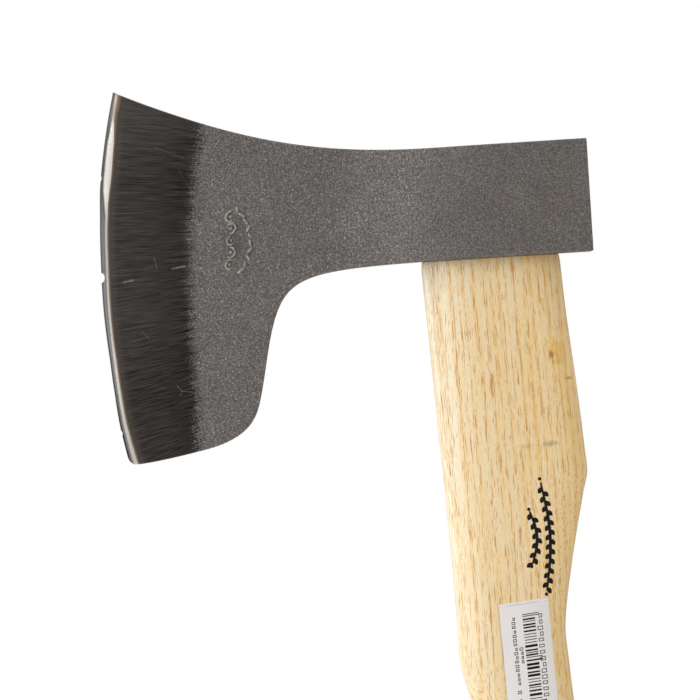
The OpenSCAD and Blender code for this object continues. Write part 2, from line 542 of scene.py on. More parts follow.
class EdgeArc(SharedEffect):
    """Distance back from the curved cutting edge, and length along it."""

    name = "edge_arc"
    takes = {"Position": "Vector", "Centre": "Vector", "Radius": "Float"}
    gives = {"Distance": "Float", "Along": "Float"}

    @staticmethod
    def wire(nodes: Nodes, given: Sockets) -> Feeds:
        """Distance is the radius less the distance from the arc's centre line, and Along is the
        radius times the angle about that line."""
        x, _, z = nodes.split(nodes.vector("SUBTRACT", given["Position"], given["Centre"]))
        reach = nodes.math("SQRT", nodes.plus(nodes.times(x, x), nodes.times(z, z)))
        angle = nodes.math("ARCTAN2", z, nodes.times(x, -1.0))
        return {
            "Distance": nodes.minus(given["Radius"], reach),
            "Along": nodes.times(angle, given["Radius"]),
        }


class ShotBlast(SharedEffect):
    """The pebbled skin that shot blasting leaves on a forging."""

    name = "shot_blast"
    takes = {"Position": "Vector", "Size": "Float"}
    gives = {"Height": "Float", "Grain": "Float", "Fleck": "Float", "Mottle": "Float"}

    @staticmethod
    def wire(nodes: Nodes, given: Sockets) -> Feeds:
        """Height is dimples of two sizes, Grain the same with more contrast, Fleck marks the
        bright crests between dimples, and Mottle is a slow change of tone."""
        unit = nodes.join(given["Size"], given["Size"], given["Size"])
        place = nodes.vector("DIVIDE", given["Position"], unit)
        fine = nodes.noise(place, detail=3.0, roughness=0.62)
        pits = nodes.cells(nodes.vector("MULTIPLY", place, (0.8, 0.8, 0.8)), "SMOOTH_F1")
        bowls = nodes.ramp(pits.outputs["Distance"], 0.1, 0.8)
        coarse = nodes.noise(nodes.vector("MULTIPLY", place, (0.45, 0.45, 0.45)), detail=2.0)
        height = nodes.plus(nodes.times(fine, 0.65), nodes.times(bowls, 0.35))
        mixed = nodes.plus(nodes.times(height, 0.72), nodes.times(coarse, 0.28))
        crest = nodes.noise(nodes.vector("ADD", place, (7.3, 1.9, 4.1)), detail=1.5)
        often = nodes.times(nodes.minus(coarse, 0.5), 0.3)
        fleck = nodes.ramp(nodes.plus(crest, often), 0.62, 0.72)
        mottle = nodes.noise(nodes.scaled(given["Position"], 12.0), detail=3.0)
        return {
            "Height": height,
            "Grain": nodes.ramp(mixed, 0.37, 0.63),
            "Fleck": fleck,
            "Mottle": mottle,
        }


class GrindLines(SharedEffect):
    """Fine lines that a grinding belt leaves."""

    name = "grind_lines"
    takes = {"Along": "Float", "Across": "Float", "Depth": "Float", "Pitch": "Float"}
    gives = {"Line": "Float", "Band": "Float"}

    @staticmethod
    def wire(nodes: Nodes, given: Sockets) -> Feeds:
        """Line is noise drawn out along the belt's travel, and Band is the same, coarser."""
        row = nodes.math("DIVIDE", given["Across"], given["Pitch"])
        run = nodes.times(given["Along"], 0.045)
        fine = nodes.noise(nodes.join(run, row, given["Depth"]), detail=1.5)
        slow = nodes.times(row, 0.16)
        band = nodes.noise(nodes.join(nodes.times(run, 0.5), slow, given["Depth"]), detail=2.0)
        return {"Line": fine, "Band": band}


class Blot(SharedEffect):
    """A soft-edged spot with a ragged border, for knots, stains, smudges and painted shade."""

    name = "blot"
    takes = {"Position": "Vector", "Centre": "Vector", "Reach": "Vector", "Ragged": "Float"}
    gives = {"Spot": "Float"}

    @staticmethod
    def wire(nodes: Nodes, given: Sockets) -> Feeds:
        """1 at the centre and 0 from one reach away, each way measured by its own reach."""
        off = nodes.vector("SUBTRACT", given["Position"], given["Centre"])
        away = nodes.vector("LENGTH", nodes.vector("DIVIDE", off, given["Reach"]))
        rough = nodes.noise(nodes.scaled(given["Position"], 1.1, 1.1, 2.2), detail=3.0)
        shift = nodes.times(nodes.minus(rough, 0.5), given["Ragged"])
        return {"Spot": nodes.ramp(nodes.plus(away, shift), 1.0, 0.0)}


class Scratch(SharedEffect):
    """One straight scratch between two points of the near cheek."""

    name = "scratch"
    takes = {"Position": "Vector", "Start": "Vector", "End": "Vector", "Width": "Float"}
    gives = {"Mark": "Float"}

    @staticmethod
    def wire(nodes: Nodes, given: Sockets) -> Feeds:
        """1 on the line from Start to End, and 0 from one width away, with height y left out."""
        flat = (1.0, 0.0, 1.0)
        along = nodes.vector("MULTIPLY", nodes.vector("SUBTRACT", given["End"], given["Start"]), flat)
        off = nodes.vector("MULTIPLY", nodes.vector("SUBTRACT", given["Position"], given["Start"]), flat)
        length = nodes.vector("DOT_PRODUCT", along, along)
        share = nodes.math("DIVIDE", nodes.vector("DOT_PRODUCT", off, along), length, clamp=True)
        foot = nodes.vector("SCALE", along)
        nodes.feed(foot.node.inputs["Scale"], share)
        away = nodes.vector("LENGTH", nodes.vector("SUBTRACT", off, foot))
        near_side = nodes.math("LESS_THAN", nodes.split(given["Position"])[1], 0.0)
        mark = nodes.ramp(away, given["Width"], 0.0)
        return {"Mark": nodes.times(mark, near_side)}


class WoodGrain(SharedEffect):
    """Ring-porous wood, worked out through its whole depth, so faces, sides and ends agree."""

    name = "wood_grain"
    takes = {
        "Position": "Vector",
        "Pith": "Vector",
        "Lean": "Vector",
        "Spacing": "Float",
        "Pore": "Float",
        "Length": "Float",
    }
    gives = {
        "Early": "Float",
        "Pores": "Float",
        "Streak": "Float",
        "Fibre": "Float",
        "Ray": "Float",
        "Height": "Float",
    }

    @staticmethod
    def wire(nodes: Nodes, given: Sockets) -> Feeds:
        """Rings lie about the leaning pith, a spacing apart, and sway a little along the wood.
        Pores are the crests of a noise drawn out along the grain. They follow one another in
        columns, most of them in the early wood of each ring. Fibre is a fine lengthwise noise,
        Streak a slow one, and Ray small flecks."""
        depth = nodes.split(given["Position"])[2]
        position = nodes.vector(
            "MULTIPLY_ADD", nodes.join(depth, depth, depth), given["Lean"], given["Position"]
        )
        swayed = position
        for size, off in (((26.0, 26.0, 90.0), 1.8), ((4.0, 4.0, 14.0), 0.10)):
            sway = nodes.add("ShaderNodeTexNoise", noise_dimensions="3D")
            nodes.feed(sway.inputs["Vector"], nodes.scaled(position, *size))
            sway.inputs["Scale"].default_value = 1.0
            swayed = nodes.vector("MULTIPLY_ADD", sway.outputs["Color"], (off, off, 0.0), swayed)
        x, y, z = nodes.split(nodes.vector("SUBTRACT", swayed, given["Pith"]))
        reach = nodes.math("SQRT", nodes.plus(nodes.times(x, x), nodes.times(y, y)))
        ring = nodes.math("DIVIDE", reach, given["Spacing"])
        drift = nodes.noise(nodes.join(nodes.times(ring, 0.4), 0.0, 0.0), detail=1.0)
        phase = nodes.math("FRACT", nodes.plus(ring, nodes.times(drift, 2.2)))
        early = nodes.ramp(nodes.math("ABSOLUTE", nodes.minus(phase, 0.4)), 0.34, 0.04)

        size = nodes.join(given["Pore"], given["Pore"], given["Length"])
        place = nodes.vector("DIVIDE", nodes.join(x, y, z), size)
        crest = nodes.noise(place, detail=1.0)
        drawn = nodes.vector("MULTIPLY", place, (0.8, 0.8, 0.10))
        column = nodes.times(nodes.minus(nodes.noise(drawn), 0.5), 0.34)
        crest = nodes.plus(crest, column)
        patch = nodes.noise(nodes.scaled(swayed, 4.0, 4.0, 12.0), detail=1.0)
        often = nodes.plus(nodes.mix(early, 0.70, 0.61), nodes.times(patch, -0.08))
        pores = nodes.ramp(nodes.minus(crest, often), 0.0, 0.03)

        fibre = nodes.noise(nodes.scaled(swayed, 0.36, 0.36, 2.6), detail=4.0, roughness=0.65)
        streak = nodes.noise(nodes.scaled(swayed, 2.6, 2.6, 60.0), detail=2.0)
        ray = nodes.noise(nodes.scaled(swayed, 0.42, 0.42, 0.8), detail=2.0, roughness=0.6)
        height = nodes.minus(nodes.times(fibre, 0.06), nodes.times(pores, 0.05))
        return {
            "Early": early,
            "Pores": pores,
            "Streak": streak,
            "Fibre": nodes.ramp(fibre, 0.34, 0.68),
            "Ray": nodes.ramp(ray, 0.34, 0.68),
            "Height": height,
        }


# --- Finishes -----------------------------------------------------------------------------


@dataclass(frozen=True)
class Finish:
    """One surface finish. Each kind of finish wires its own shader."""

    name: str
    datum: Datum

    def wire(self, nodes: Nodes, position: Socket) -> Feeds:
        """Builds the finish's pattern.

        Args:
            nodes: the material's nodes.
            position: the place on the object, in millimetres in the head frame.

        Returns:
            What goes into each input of the Principled shader.
        """
        raise NotImplementedError

    def material(self) -> bpy.types.Material:
        """The finish as a material, made the first time it is asked for."""
        made = bpy.data.materials.get(self.name)
        if made is not None:
            return made
        made = bpy.data.materials.new(self.name)
        made.use_nodes = True
        nodes = Nodes(made.node_tree)
        shader = next(n for n in made.node_tree.nodes if n.type == "BSDF_PRINCIPLED")
        where = nodes.add("ShaderNodeTexCoord")
        mapping = nodes.add("ShaderNodeMapping", vector_type="POINT")
        nodes.feed(mapping.inputs["Vector"], where.outputs["Object"])
        mapping.inputs["Scale"].default_value = (1 / MM, 1 / MM, 1 / MM)
        mapping.inputs["Location"].default_value = (-self.datum.x / MM, 0.0, -self.datum.z / MM)
        for name, value in self.wire(nodes, mapping.outputs["Vector"]).items():
            nodes.feed(shader.inputs[name], value)
        return made

    def dress(self, *pieces: Piece) -> None:
        """Gives the finish to the pieces."""
        for piece in pieces:
            piece.data.materials.clear()
            piece.data.materials.append(self.material())


@dataclass(frozen=True)
class Honing:
    """How the honed bevel changes along the edge, by height: its width, how far honing has set the edge
    back from its arc, the share of the width where the painted highlight along its inner part begins,
    and how much farther back than usual the ground steel behind it reaches."""

    width: Knots = Knots(
        (
            (-66.0, 2.9), (-59.0, 2.7), (-53.0, 2.5), (-43.0, 2.3), (-26.0, 2.2), (-8.0, 2.45),
            (18.8, 2.6), (27.8, 2.9), (32.5, 3.4), (36.7, 3.65), (41.0, 3.7), (50.0, 3.3),
            (59.0, 2.05), (68.0, 2.1),
        )
    )
    stray: Knots = Knots(
        (
            (-66.0, 0.05), (-52.0, 0.0), (-41.0, 0.45), (-28.0, 0.75), (-11.0, 0.42), (6.0, 0.34),
            (24.0, -0.16), (33.0, -0.68), (42.0, -0.72), (68.0, -0.56),
        )
    )
    highlight_from: Knots = Knots(
        (
            (-66.0, 0.56), (-40.0, 0.66), (-20.0, 0.77), (10.0, 0.80), (24.0, 0.78), (28.0, 0.66),
            (32.5, 0.47), (36.7, 0.40), (50.0, 0.42), (59.0, 0.80), (63.0, 0.74), (68.0, 0.56),
        )
    )
    ground_shift: Knots = Knots(
        (
            (-66.0, -7.9), (-60.0, -6.7), (-50.0, -4.8), (-44.0, -3.8), (-38.0, -3.1),
            (-30.0, -2.8), (-22.0, -2.3), (-12.0, -1.2), (4.0, -0.1), (20.0, 0.3), (31.0, 0.9),
            (42.0, 1.4), (68.0, 1.7),
        )
    )


@dataclass(frozen=True)
class Scrape:
    """One scratch on the near cheek, from one place to another as x and z."""

    start: tuple[float, float]
    end: tuple[float, float]
    width: float
    strength: float


@dataclass(frozen=True)
class ForgedSteel(Finish):
    """Shot-blasted steel that turns to belt-ground steel and then to a honed bevel at the edge.

    Limits say where a smooth change begins and ends. Where two more numbers follow, these are the
    values there, which are 0 and 1 otherwise.
    """

    centre: tuple[float, float, float]
    radius: float
    honing: Honing
    ground: float
    slant: float = 0.07
    grit: float = 0.36
    belt_pitch: float = 0.18
    hone_pitch: float = 0.22
    blasted_rough: tuple[float, float] = (0.56, 0.40)
    ground_rough: tuple[float, float] = (0.26, 0.40)
    honed_rough: tuple[float, float] = (0.14, 0.28)
    pebble_height: float = 0.13
    groove_height: float = 0.016
    stroke_height: float = 0.004
    speck_fray: float = 14.0
    wander_fray: float = 1.6
    line_fray: float = 7.0
    poll_paler: Limits = (-30.0, 10.0, 0.03, 0.13)
    mottle_shade: Limits = (0.3, 0.7, 0.0, 0.22)
    poll_flecks: Limits = (-60.0, 0.0, 0.82, 0.42)
    stamp_shade_share: float = 0.5
    bevel_shade: Limits = (0.5, 4.0, 0.55, 0.19)
    back_shade: Limits = (14.0, 30.0, 0.0, -0.20)
    toe_shade: Limits = (36.0, 68.0, 0.0, 0.38)
    heel_shade: Limits = (-8.0, -44.0, 0.02, -0.16)
    line_reach: Limits = (0.34, 0.66)
    line_share: float = 0.54
    band_reach: Limits = (0.3, 0.7)
    band_share: float = 0.06
    scrape_skip: Limits = (0.3, 0.6, 0.25, 1.0)
    toe_fade: Limits = (48.0, 64.0, 0.0, 0.7)
    stain_reach: Limits = (2.9, 0.2)
    stain_share: float = 0.8
    burr_reach: Limits = (1.15, 0.1)
    burr_share: float = 0.8
    # Where the bevel's painted highlight lies, and its dark painted edge line.
    bright_reach: Limits = (-0.20, 0.08)
    bright_rise: Limits = (20.0, 32.0, 0.58, 1.0)
    heel_bright: Limits = (-46.0, -56.0, 0.0, 0.10)
    toe_reach: Limits = (54.0, 61.0)
    grey_reach: Limits = (18.0, 40.0)
    edge_reach: Limits = (1.15, 0.35, 0.0, 0.95)
    blasted_light: Colour = paint(135, 131, 129)
    blasted_dark: Colour = paint(92, 88, 86)
    fleck_tone: Colour = paint(206, 203, 198)
    ground_light: Colour = paint(114, 110, 107)
    ground_dark: Colour = paint(52, 48, 44)
    # Painted highlight tones of the bevel, then the grey and dark tones of its shaded parts.
    honed_highlight: Colour = paint(249, 244, 236)
    toe_highlight: Colour = paint(176, 163, 145)
    honed_grey: Colour = paint(106, 105, 104)
    toe_grey: Colour = paint(88, 87, 86)
    edge_tone: Colour = paint(54, 52, 50)
    burr_tone: Colour = paint(190, 168, 142)
    stain_tone: Colour = paint(104, 92, 82)
    # Painted shade round the raised mark: where its darker patch lies and how far it reaches.
    stamp_shade_centre: tuple[float, float, float] = (-91.0, -9.0, 11.0)
    stamp_shade_reach: tuple[float, float, float] = (8.0, 8.0, 19.0)
    scrapes: tuple[Scrape, ...] = (
        Scrape((-109.8, 3.9), (-114.2, 3.2), 0.55, 0.6),
        Scrape((-128.7, 0.0), (-132.0, -0.5), 0.5, 0.7),
        Scrape((-115.6, -38.6), (-113.5, -41.0), 0.30, 0.4),
        Scrape((-113.5, -41.0), (-109.8, -41.5), 0.28, 0.35),
        Scrape((-113.5, -41.0), (-114.3, -42.5), 0.26, 0.3),
        Scrape((-118.4, 47.4), (-107.6, 42.6), 0.22, 0.25),
        Scrape((-110.0, 38.6), (-103.6, 27.0), 0.22, 0.16),
        Scrape((-126.6, -18.7), (-124.2, -21.5), 0.22, 0.25),
        Scrape((-120.6, 7.6), (-119.8, 3.4), 0.22, 0.4),
        Scrape((-84.5, 34.0), (-80.0, 28.6), 0.3, 0.4),
    )

    def zones(self, nodes: Nodes, back: Socket, z: Socket, grain: Socket) -> tuple[Socket, Socket]:
        """Masks of the ground steel and of the honed bevel within it.

        Args:
            nodes: the material's nodes.
            back: distance back from the edge.
            z: height in the head frame.
            grain: fine grinding lines, which fray the ground steel's border.
        """
        speck = nodes.noise(self.spots(nodes, 0.4), detail=2.0)
        wander = nodes.noise(self.spots(nodes, 9.0), detail=1.0)
        border = nodes.plus(nodes.curve(z, self.honing.ground_shift), self.ground)
        frayed = nodes.plus(
            nodes.times(nodes.minus(speck, 0.5), self.speck_fray),
            nodes.times(nodes.minus(wander, 0.5), self.wander_fray),
            nodes.times(nodes.minus(grain, 0.5), self.line_fray),
        )
        past = nodes.minus(nodes.plus(back, frayed), border)
        beyond = nodes.minus(back, nodes.curve(z, self.honing.width))
        return nodes.ramp(past, 1.2, -1.2), beyond

    def spots(self, nodes: Nodes, size: float) -> Socket:
        """The place on the object with one unit the given size in millimetres."""
        where = nodes.add("ShaderNodeTexCoord").outputs["Object"]
        return nodes.vector("DIVIDE", where, (size * MM,) * 3)

    def wire(self, nodes: Nodes, position: Socket) -> Feeds:
        """Zones follow the distance back from the edge, with frayed borders between them."""
        arc = EdgeArc.place(nodes, Position=position, Centre=self.centre, Radius=self.radius)
        _, y, z = nodes.split(position)
        back = nodes.minus(arc["Distance"], nodes.curve(z, self.honing.stray))
        blast = ShotBlast.place(nodes, Position=position, Size=self.grit)
        across = nodes.minus(arc["Along"], nodes.times(back, self.slant))
        lines = GrindLines.place(nodes, Along=back, Across=across, Depth=y, Pitch=self.belt_pitch)
        hone = GrindLines.place(nodes, Along=back, Across=arc["Along"], Depth=y, Pitch=self.hone_pitch)
        ground, beyond = self.zones(nodes, back, z, lines["Line"])
        honed = nodes.ramp(beyond, 0.06, -0.06)

        skin = self.blasted(nodes, position, blast)
        cheek = self.scraped(nodes, position, blast, self.belted(nodes, back, z, beyond, lines))
        cheek = self.stained(nodes, z, beyond, lines, cheek)
        tone = nodes.blend(ground, skin, cheek)

        rough = nodes.mix(blast["Fleck"], *self.blasted_rough)
        rough = nodes.mix(ground, rough, nodes.mix(lines["Line"], *self.ground_rough))
        rough = nodes.mix(honed, rough, nodes.mix(hone["Line"], *self.honed_rough))

        pebbles = nodes.times(blast["Height"], self.pebble_height)
        grooves = nodes.times(lines["Line"], self.groove_height)
        strokes = nodes.times(hone["Line"], self.stroke_height)
        relief = nodes.mix(honed, nodes.mix(ground, pebbles, grooves), strokes)
        # The honed bevel's colour is a painted reflection: painted highlight and painted shade.
        return {
            "Base Color": nodes.blend(honed, tone, self.painted_bevel_light(nodes, back, z)),
            "Roughness": rough,
            "Metallic": 1.0,
            "Normal": nodes.bump(relief),
        }

    def blasted(self, nodes: Nodes, position: Socket, blast: Sockets) -> Socket:
        """Tone of the blasted skin: grain and flecks, a slow mottle, and painted shade as a darker patch
        round the stamp. Towards the poll it is paler and has fewer flecks."""
        x = nodes.split(position)[0]
        share = nodes.plus(blast["Grain"], nodes.ramp(x, *self.poll_paler), clamp=True)
        skin = nodes.blend(share, self.blasted_dark, self.blasted_light)
        skin = nodes.blend(nodes.ramp(blast["Mottle"], *self.mottle_shade), skin, self.blasted_dark)
        fleck = nodes.times(blast["Fleck"], nodes.ramp(x, *self.poll_flecks))
        skin = nodes.blend(fleck, skin, self.fleck_tone)
        # Painted shade: a darker patch round the raised mark, standing in for the shade of its recessed
        # field.
        stamp_shade = Blot.place(
            nodes, Position=position, Centre=self.stamp_shade_centre, Reach=self.stamp_shade_reach, Ragged=0.3
        )["Spot"]
        return nodes.blend(nodes.times(stamp_shade, self.stamp_shade_share), skin, self.blasted_dark)

    def belted(self, nodes: Nodes, back: Socket, z: Socket, beyond: Socket, lines: Sockets) -> Socket:
        """Tone of the ground cheek: fine lines, over a shade that is paler beside the bevel and
        up at the toe, and darker far back and low down."""
        shade = nodes.plus(
            nodes.ramp(beyond, *self.bevel_shade),
            nodes.ramp(back, *self.back_shade),
            nodes.ramp(z, *self.toe_shade),
            nodes.ramp(z, *self.heel_shade),
        )
        fine = nodes.times(nodes.ramp(lines["Line"], *self.line_reach), self.line_share)
        wide = nodes.times(nodes.ramp(lines["Band"], *self.band_reach), self.band_share)
        toned = nodes.plus(nodes.plus(fine, wide), shade, clamp=True)
        return nodes.blend(toned, self.ground_dark, self.ground_light)

    def scraped(self, nodes: Nodes, position: Socket, blast: Sockets, cheek: Socket) -> Socket:
        """The ground cheek with its scratches, which skip the deeper dimples."""
        for scrape in self.scrapes:
            mark = Scratch.place(
                nodes,
                Position=position,
                Start=(scrape.start[0], 0.0, scrape.start[1]),
                End=(scrape.end[0], 0.0, scrape.end[1]),
                Width=scrape.width,
            )["Mark"]
            mark = nodes.times(mark, nodes.ramp(blast["Height"], *self.scrape_skip))
            cheek = nodes.blend(nodes.times(mark, scrape.strength), cheek, self.fleck_tone)
        return cheek

    def stained(self, nodes: Nodes, z: Socket, beyond: Socket, lines: Sockets, cheek: Socket) -> Socket:
        """The ground cheek with a brown stain and a pale burr beside the bevel, frayed by the
        grinding lines. Both fade out up at the toe."""
        fine = nodes.ramp(lines["Line"], *self.line_reach)
        fade = nodes.ramp(z, *self.toe_fade)
        past = nodes.minus(nodes.plus(beyond, nodes.times(fine, 0.8)), fade)
        stain = nodes.ramp(past, *self.stain_reach)
        cheek = nodes.blend(nodes.times(stain, self.stain_share), cheek, self.stain_tone)
        burr = nodes.ramp(nodes.minus(past, nodes.times(fine, 0.4)), *self.burr_reach)
        return nodes.blend(nodes.times(burr, self.burr_share), cheek, self.burr_tone)

    def painted_bevel_light(self, nodes: Nodes, back: Socket, z: Socket) -> Socket:
        """Painted reflection on the honed bevel, as lit and shaded copies of one steel: grey behind, a
        painted highlight along its inner part, and painted shade as a dark line at the very edge."""
        share = nodes.math("DIVIDE", back, nodes.curve(z, self.honing.width))
        # Painted highlight: the bright strip where the bevel would reflect the light.
        inner = nodes.minus(share, nodes.curve(z, self.honing.highlight_from))
        lit = nodes.times(nodes.ramp(inner, *self.bright_reach), nodes.ramp(z, *self.bright_rise))
        lit = nodes.math("MAXIMUM", lit, nodes.ramp(z, *self.heel_bright))
        bright = nodes.blend(nodes.ramp(z, *self.toe_reach), self.honed_highlight, self.toe_highlight)
        grey = nodes.blend(nodes.ramp(z, *self.grey_reach), self.honed_grey, self.toe_grey)
        reflected = nodes.blend(lit, grey, bright)
        return nodes.blend(nodes.ramp(back, *self.edge_reach), reflected, self.edge_tone)


@dataclass(frozen=True)
class OiledWood(Finish):
    """Ring-porous wood with a thin oil finish, darker where its ends are cut across.

    The tone is a share of the way from pale to warm. Streaks, early wood, fibres and rays each add to
    it, and so do a warmer side and a paler side, which run between two places along x: heartwood and
    sapwood tone together with painted shade on the warmer side and a painted sheen on the paler side.
    """

    pith: tuple[float, float, float]
    lean: tuple[float, float, float]
    spacing: float
    pore: float
    pore_length: float
    pale: Colour
    warm: Colour
    pore_tone: Colour
    end_tone: Colour
    end_top: float
    end_bottom: float
    heart_and_shade: tuple[float, float]
    sap_and_sheen: tuple[float, float]
    blots: tuple["WoodBlot", ...] = ()
    streak_share: float = 0.30
    early_share: float = 0.22
    fibre_share: float = 0.36
    ray_share: float = 0.40
    pore_share: float = 0.85
    end_share: float = 0.6
    oiled_rough: float = 0.34
    pore_rough: float = 0.60
    fibre_rough: float = 0.10

    def wire(self, nodes: Nodes, position: Socket) -> Feeds:
        """Cream and honey tones follow the streaks and rings, and pores lie on top of them."""
        grain = WoodGrain.place(
            nodes,
            Position=position,
            Pith=self.pith,
            Lean=self.lean,
            Spacing=self.spacing,
            Pore=self.pore,
            Length=self.pore_length,
        )
        x, _, z = nodes.split(position)
        share = nodes.plus(
            nodes.times(nodes.ramp(grain["Streak"], 0.3, 0.7), self.streak_share),
            nodes.times(grain["Early"], self.early_share),
            nodes.times(grain["Fibre"], self.fibre_share),
            nodes.times(grain["Ray"], self.ray_share),
            # Painted light across the wood: a warmer side with painted shade and a paler side with a
            # painted sheen, over heartwood and sapwood tone.
            nodes.ramp(x, *self.heart_and_shade, -0.08, 0.20),
            nodes.ramp(x, *self.sap_and_sheen, -0.30, 0.0),
        )
        body = nodes.blend(nodes.minus(share, 0.08, clamp=True), self.pale, self.warm)
        body = nodes.blend(nodes.times(grain["Pores"], self.pore_share), body, self.pore_tone)
        ends = nodes.plus(nodes.ramp(z, self.end_top - 0.6, self.end_top),
            nodes.ramp(z, self.end_bottom + 4.0, self.end_bottom),
            clamp=True,
        )
        body = nodes.blend(nodes.times(ends, self.end_share), body, self.end_tone)
        for blot in self.blots:
            spot = Blot.place(
                nodes, Position=position, Centre=blot.centre, Reach=blot.reach, Ragged=blot.ragged
            )["Spot"]
            body = nodes.blend(nodes.times(spot, blot.strength), body, blot.tone)
        shine = nodes.mix(grain["Pores"], self.oiled_rough, self.pore_rough)
        return {
            "Base Color": body,
            "Roughness": nodes.plus(shine, nodes.times(grain["Fibre"], self.fibre_rough)),
            "Specular IOR Level": 1.0,
            "Normal": nodes.bump(grain["Height"]),
        }


@dataclass(frozen=True)
class WoodBlot:
    """One knot, stain, smudge or painted shadow: its place, how far it reaches and its tone."""

    centre: tuple[float, float, float]
    reach: tuple[float, float, float]
    tone: Colour
    strength: float
    ragged: float


@dataclass(frozen=True)
class HammeredSteel(Finish):
    """Bright steel of a driven wedge, bruised by the hammer."""

    bright: Colour = paint(186, 184, 180)
    bruise: Colour = paint(108, 104, 100)
    dent_size: float = 3.0
    dent_height: float = 0.16
    grit_size: float = 0.5
    grit_height: float = 0.03

    def wire(self, nodes: Nodes, position: Socket) -> Feeds:
        """Shallow dents with darker floors, and fine noise for the rolled skin."""
        dents = nodes.cells(nodes.scaled(position, self.dent_size)).outputs["Distance"]
        grit = nodes.noise(nodes.scaled(position, self.grit_size), detail=3.0)
        worn = nodes.times(nodes.ramp(dents, 0.2, 0.8), nodes.ramp(grit, 0.3, 0.8))
        height = nodes.plus(nodes.times(dents, self.dent_height), nodes.times(grit, self.grit_height))
        return {
            "Base Color": nodes.blend(worn, self.bright, self.bruise),
            "Roughness": nodes.mix(grit, 0.28, 0.55),
            "Metallic": 1.0,
            "Normal": nodes.bump(height),
        }


@dataclass(frozen=True)
class CoatedPaper(Finish):
    """Smooth white label paper with a little fibre and a faint grey cast."""

    fold_place: tuple[float, float]
    fold_slope: float
    sheet: Colour = paint(233, 230, 231)
    fibre: Colour = paint(220, 216, 217)
    # Painted shade tone for the fold's crease.
    fold_shade: Colour = paint(150, 147, 149)
    thread_height: float = 0.006
    lie_height: float = 0.05

    def wire(self, nodes: Nodes, position: Socket) -> Feeds:
        """Fine fibre noise for tone and relief, a slow noise for how flat the paper lies, and painted
        shade as a fine grey line along the fold, broken up in places by the slow noise."""
        threads = nodes.noise(nodes.scaled(position, 0.25, 0.25, 0.6), detail=3.0)
        lie = nodes.noise(nodes.scaled(position, 7.0), detail=1.0)
        x, _, z = nodes.split(position)
        slope = math.radians(self.fold_slope)
        rise = nodes.times(nodes.minus(z, self.fold_place[1]), math.cos(slope))
        shift = nodes.times(nodes.minus(x, self.fold_place[0]), math.sin(slope))
        off = nodes.math("ABSOLUTE", nodes.minus(rise, shift))
        # Painted shade: a fine grey line along the fold's crease.
        crease_shade = nodes.times(nodes.ramp(off, 0.24, 0.04), nodes.ramp(lie, 0.3, 0.6, 0.2, 0.6))
        body = nodes.blend(crease_shade, nodes.blend(threads, self.sheet, self.fibre), self.fold_shade)
        height = nodes.plus(nodes.times(threads, self.thread_height), nodes.times(lie, self.lie_height))
        return {
            "Base Color": body,
            "Roughness": nodes.mix(threads, 0.42, 0.55),
            "Specular IOR Level": 0.4,
            "Normal": nodes.bump(height),
        }


@dataclass(frozen=True)
class DryInk(Finish):
    """Ink on paper or wood, thin in places, so that a little of the ground shows."""

    full: Colour = paint(14, 13, 15)
    thin: Colour = paint(52, 46, 42)
    height: float = 0.01

    def wire(self, nodes: Nodes, position: Socket) -> Feeds:
        """Patchy noise thins the ink."""
        patch = nodes.noise(nodes.scaled(position, 0.35, 0.35, 0.7), detail=3.0, roughness=0.7)
        share = nodes.ramp(patch, 0.52, 0.78)
        return {
            "Base Color": nodes.blend(share, self.full, self.thin),
            "Roughness": nodes.mix(patch, 0.5, 0.7),
            "Specular IOR Level": 0.25,
            "Normal": nodes.bump(nodes.times(patch, self.height)),
        }


# --- Head ---------------------------------------------------------------------------------


@dataclass(frozen=True)
class Eye:
    """The tapered oval hole through the head, and the tenon that fills it."""

    length: float = 46.0
    width: float = 22.0
    more_length: float = 2.0
    more_width: float = 2.5
    height: float = 40.5
    recess: float = 0.2
    oval: float = 2.7
    chamfer: float = 0.9
    points: int = 96

    @property
    def tenon_top(self) -> float:
        """Height of the tenon's sawn end."""
        return self.height - self.recess

    def rings(self, levels: Array, grow: Array | float = 0.0) -> Array:
        """Oval rings at some heights: x and y are signed powers of the cosine and sine of the
        angle, times half the length and half the width there.

        Args:
            levels: heights of the rings.
            grow: how much larger each ring is than the eye, all round.

        Returns:
            The rings, as levels x points x 3.
        """
        share = levels / self.height
        half_length = (self.length + self.more_length * share) / 2 + grow
        half_width = (self.width + self.more_width * share) / 2 + grow
        angle = np.linspace(0, 2 * np.pi, self.points, endpoint=False)
        x = half_length[:, None] * signed_power(np.cos(angle), 2 / self.oval)[None, :]
        y = half_width[:, None] * signed_power(np.sin(angle), 2 / self.oval)[None, :]
        return np.stack([x, y, np.repeat(levels[:, None], self.points, axis=1)], -1)

    def cutter(self, datum: Datum) -> Piece:
        """The tool that opens the eye in the head, flared at both mouths for their chamfers."""
        over, h, c = 3.0, self.height, self.chamfer
        levels = np.array([-over, 0.0, c, h - c, h, h + over])
        grow = np.array([c, c, 0.0, 0.0, c, c])
        return skin_piece(ring_skin(self.rings(levels, grow)), "eye_tool", datum)


@dataclass(frozen=True)
class Nick:
    """A chip out of the cutting edge: its height, half its length along the edge, its depth."""

    z: float
    half: float
    depth: float


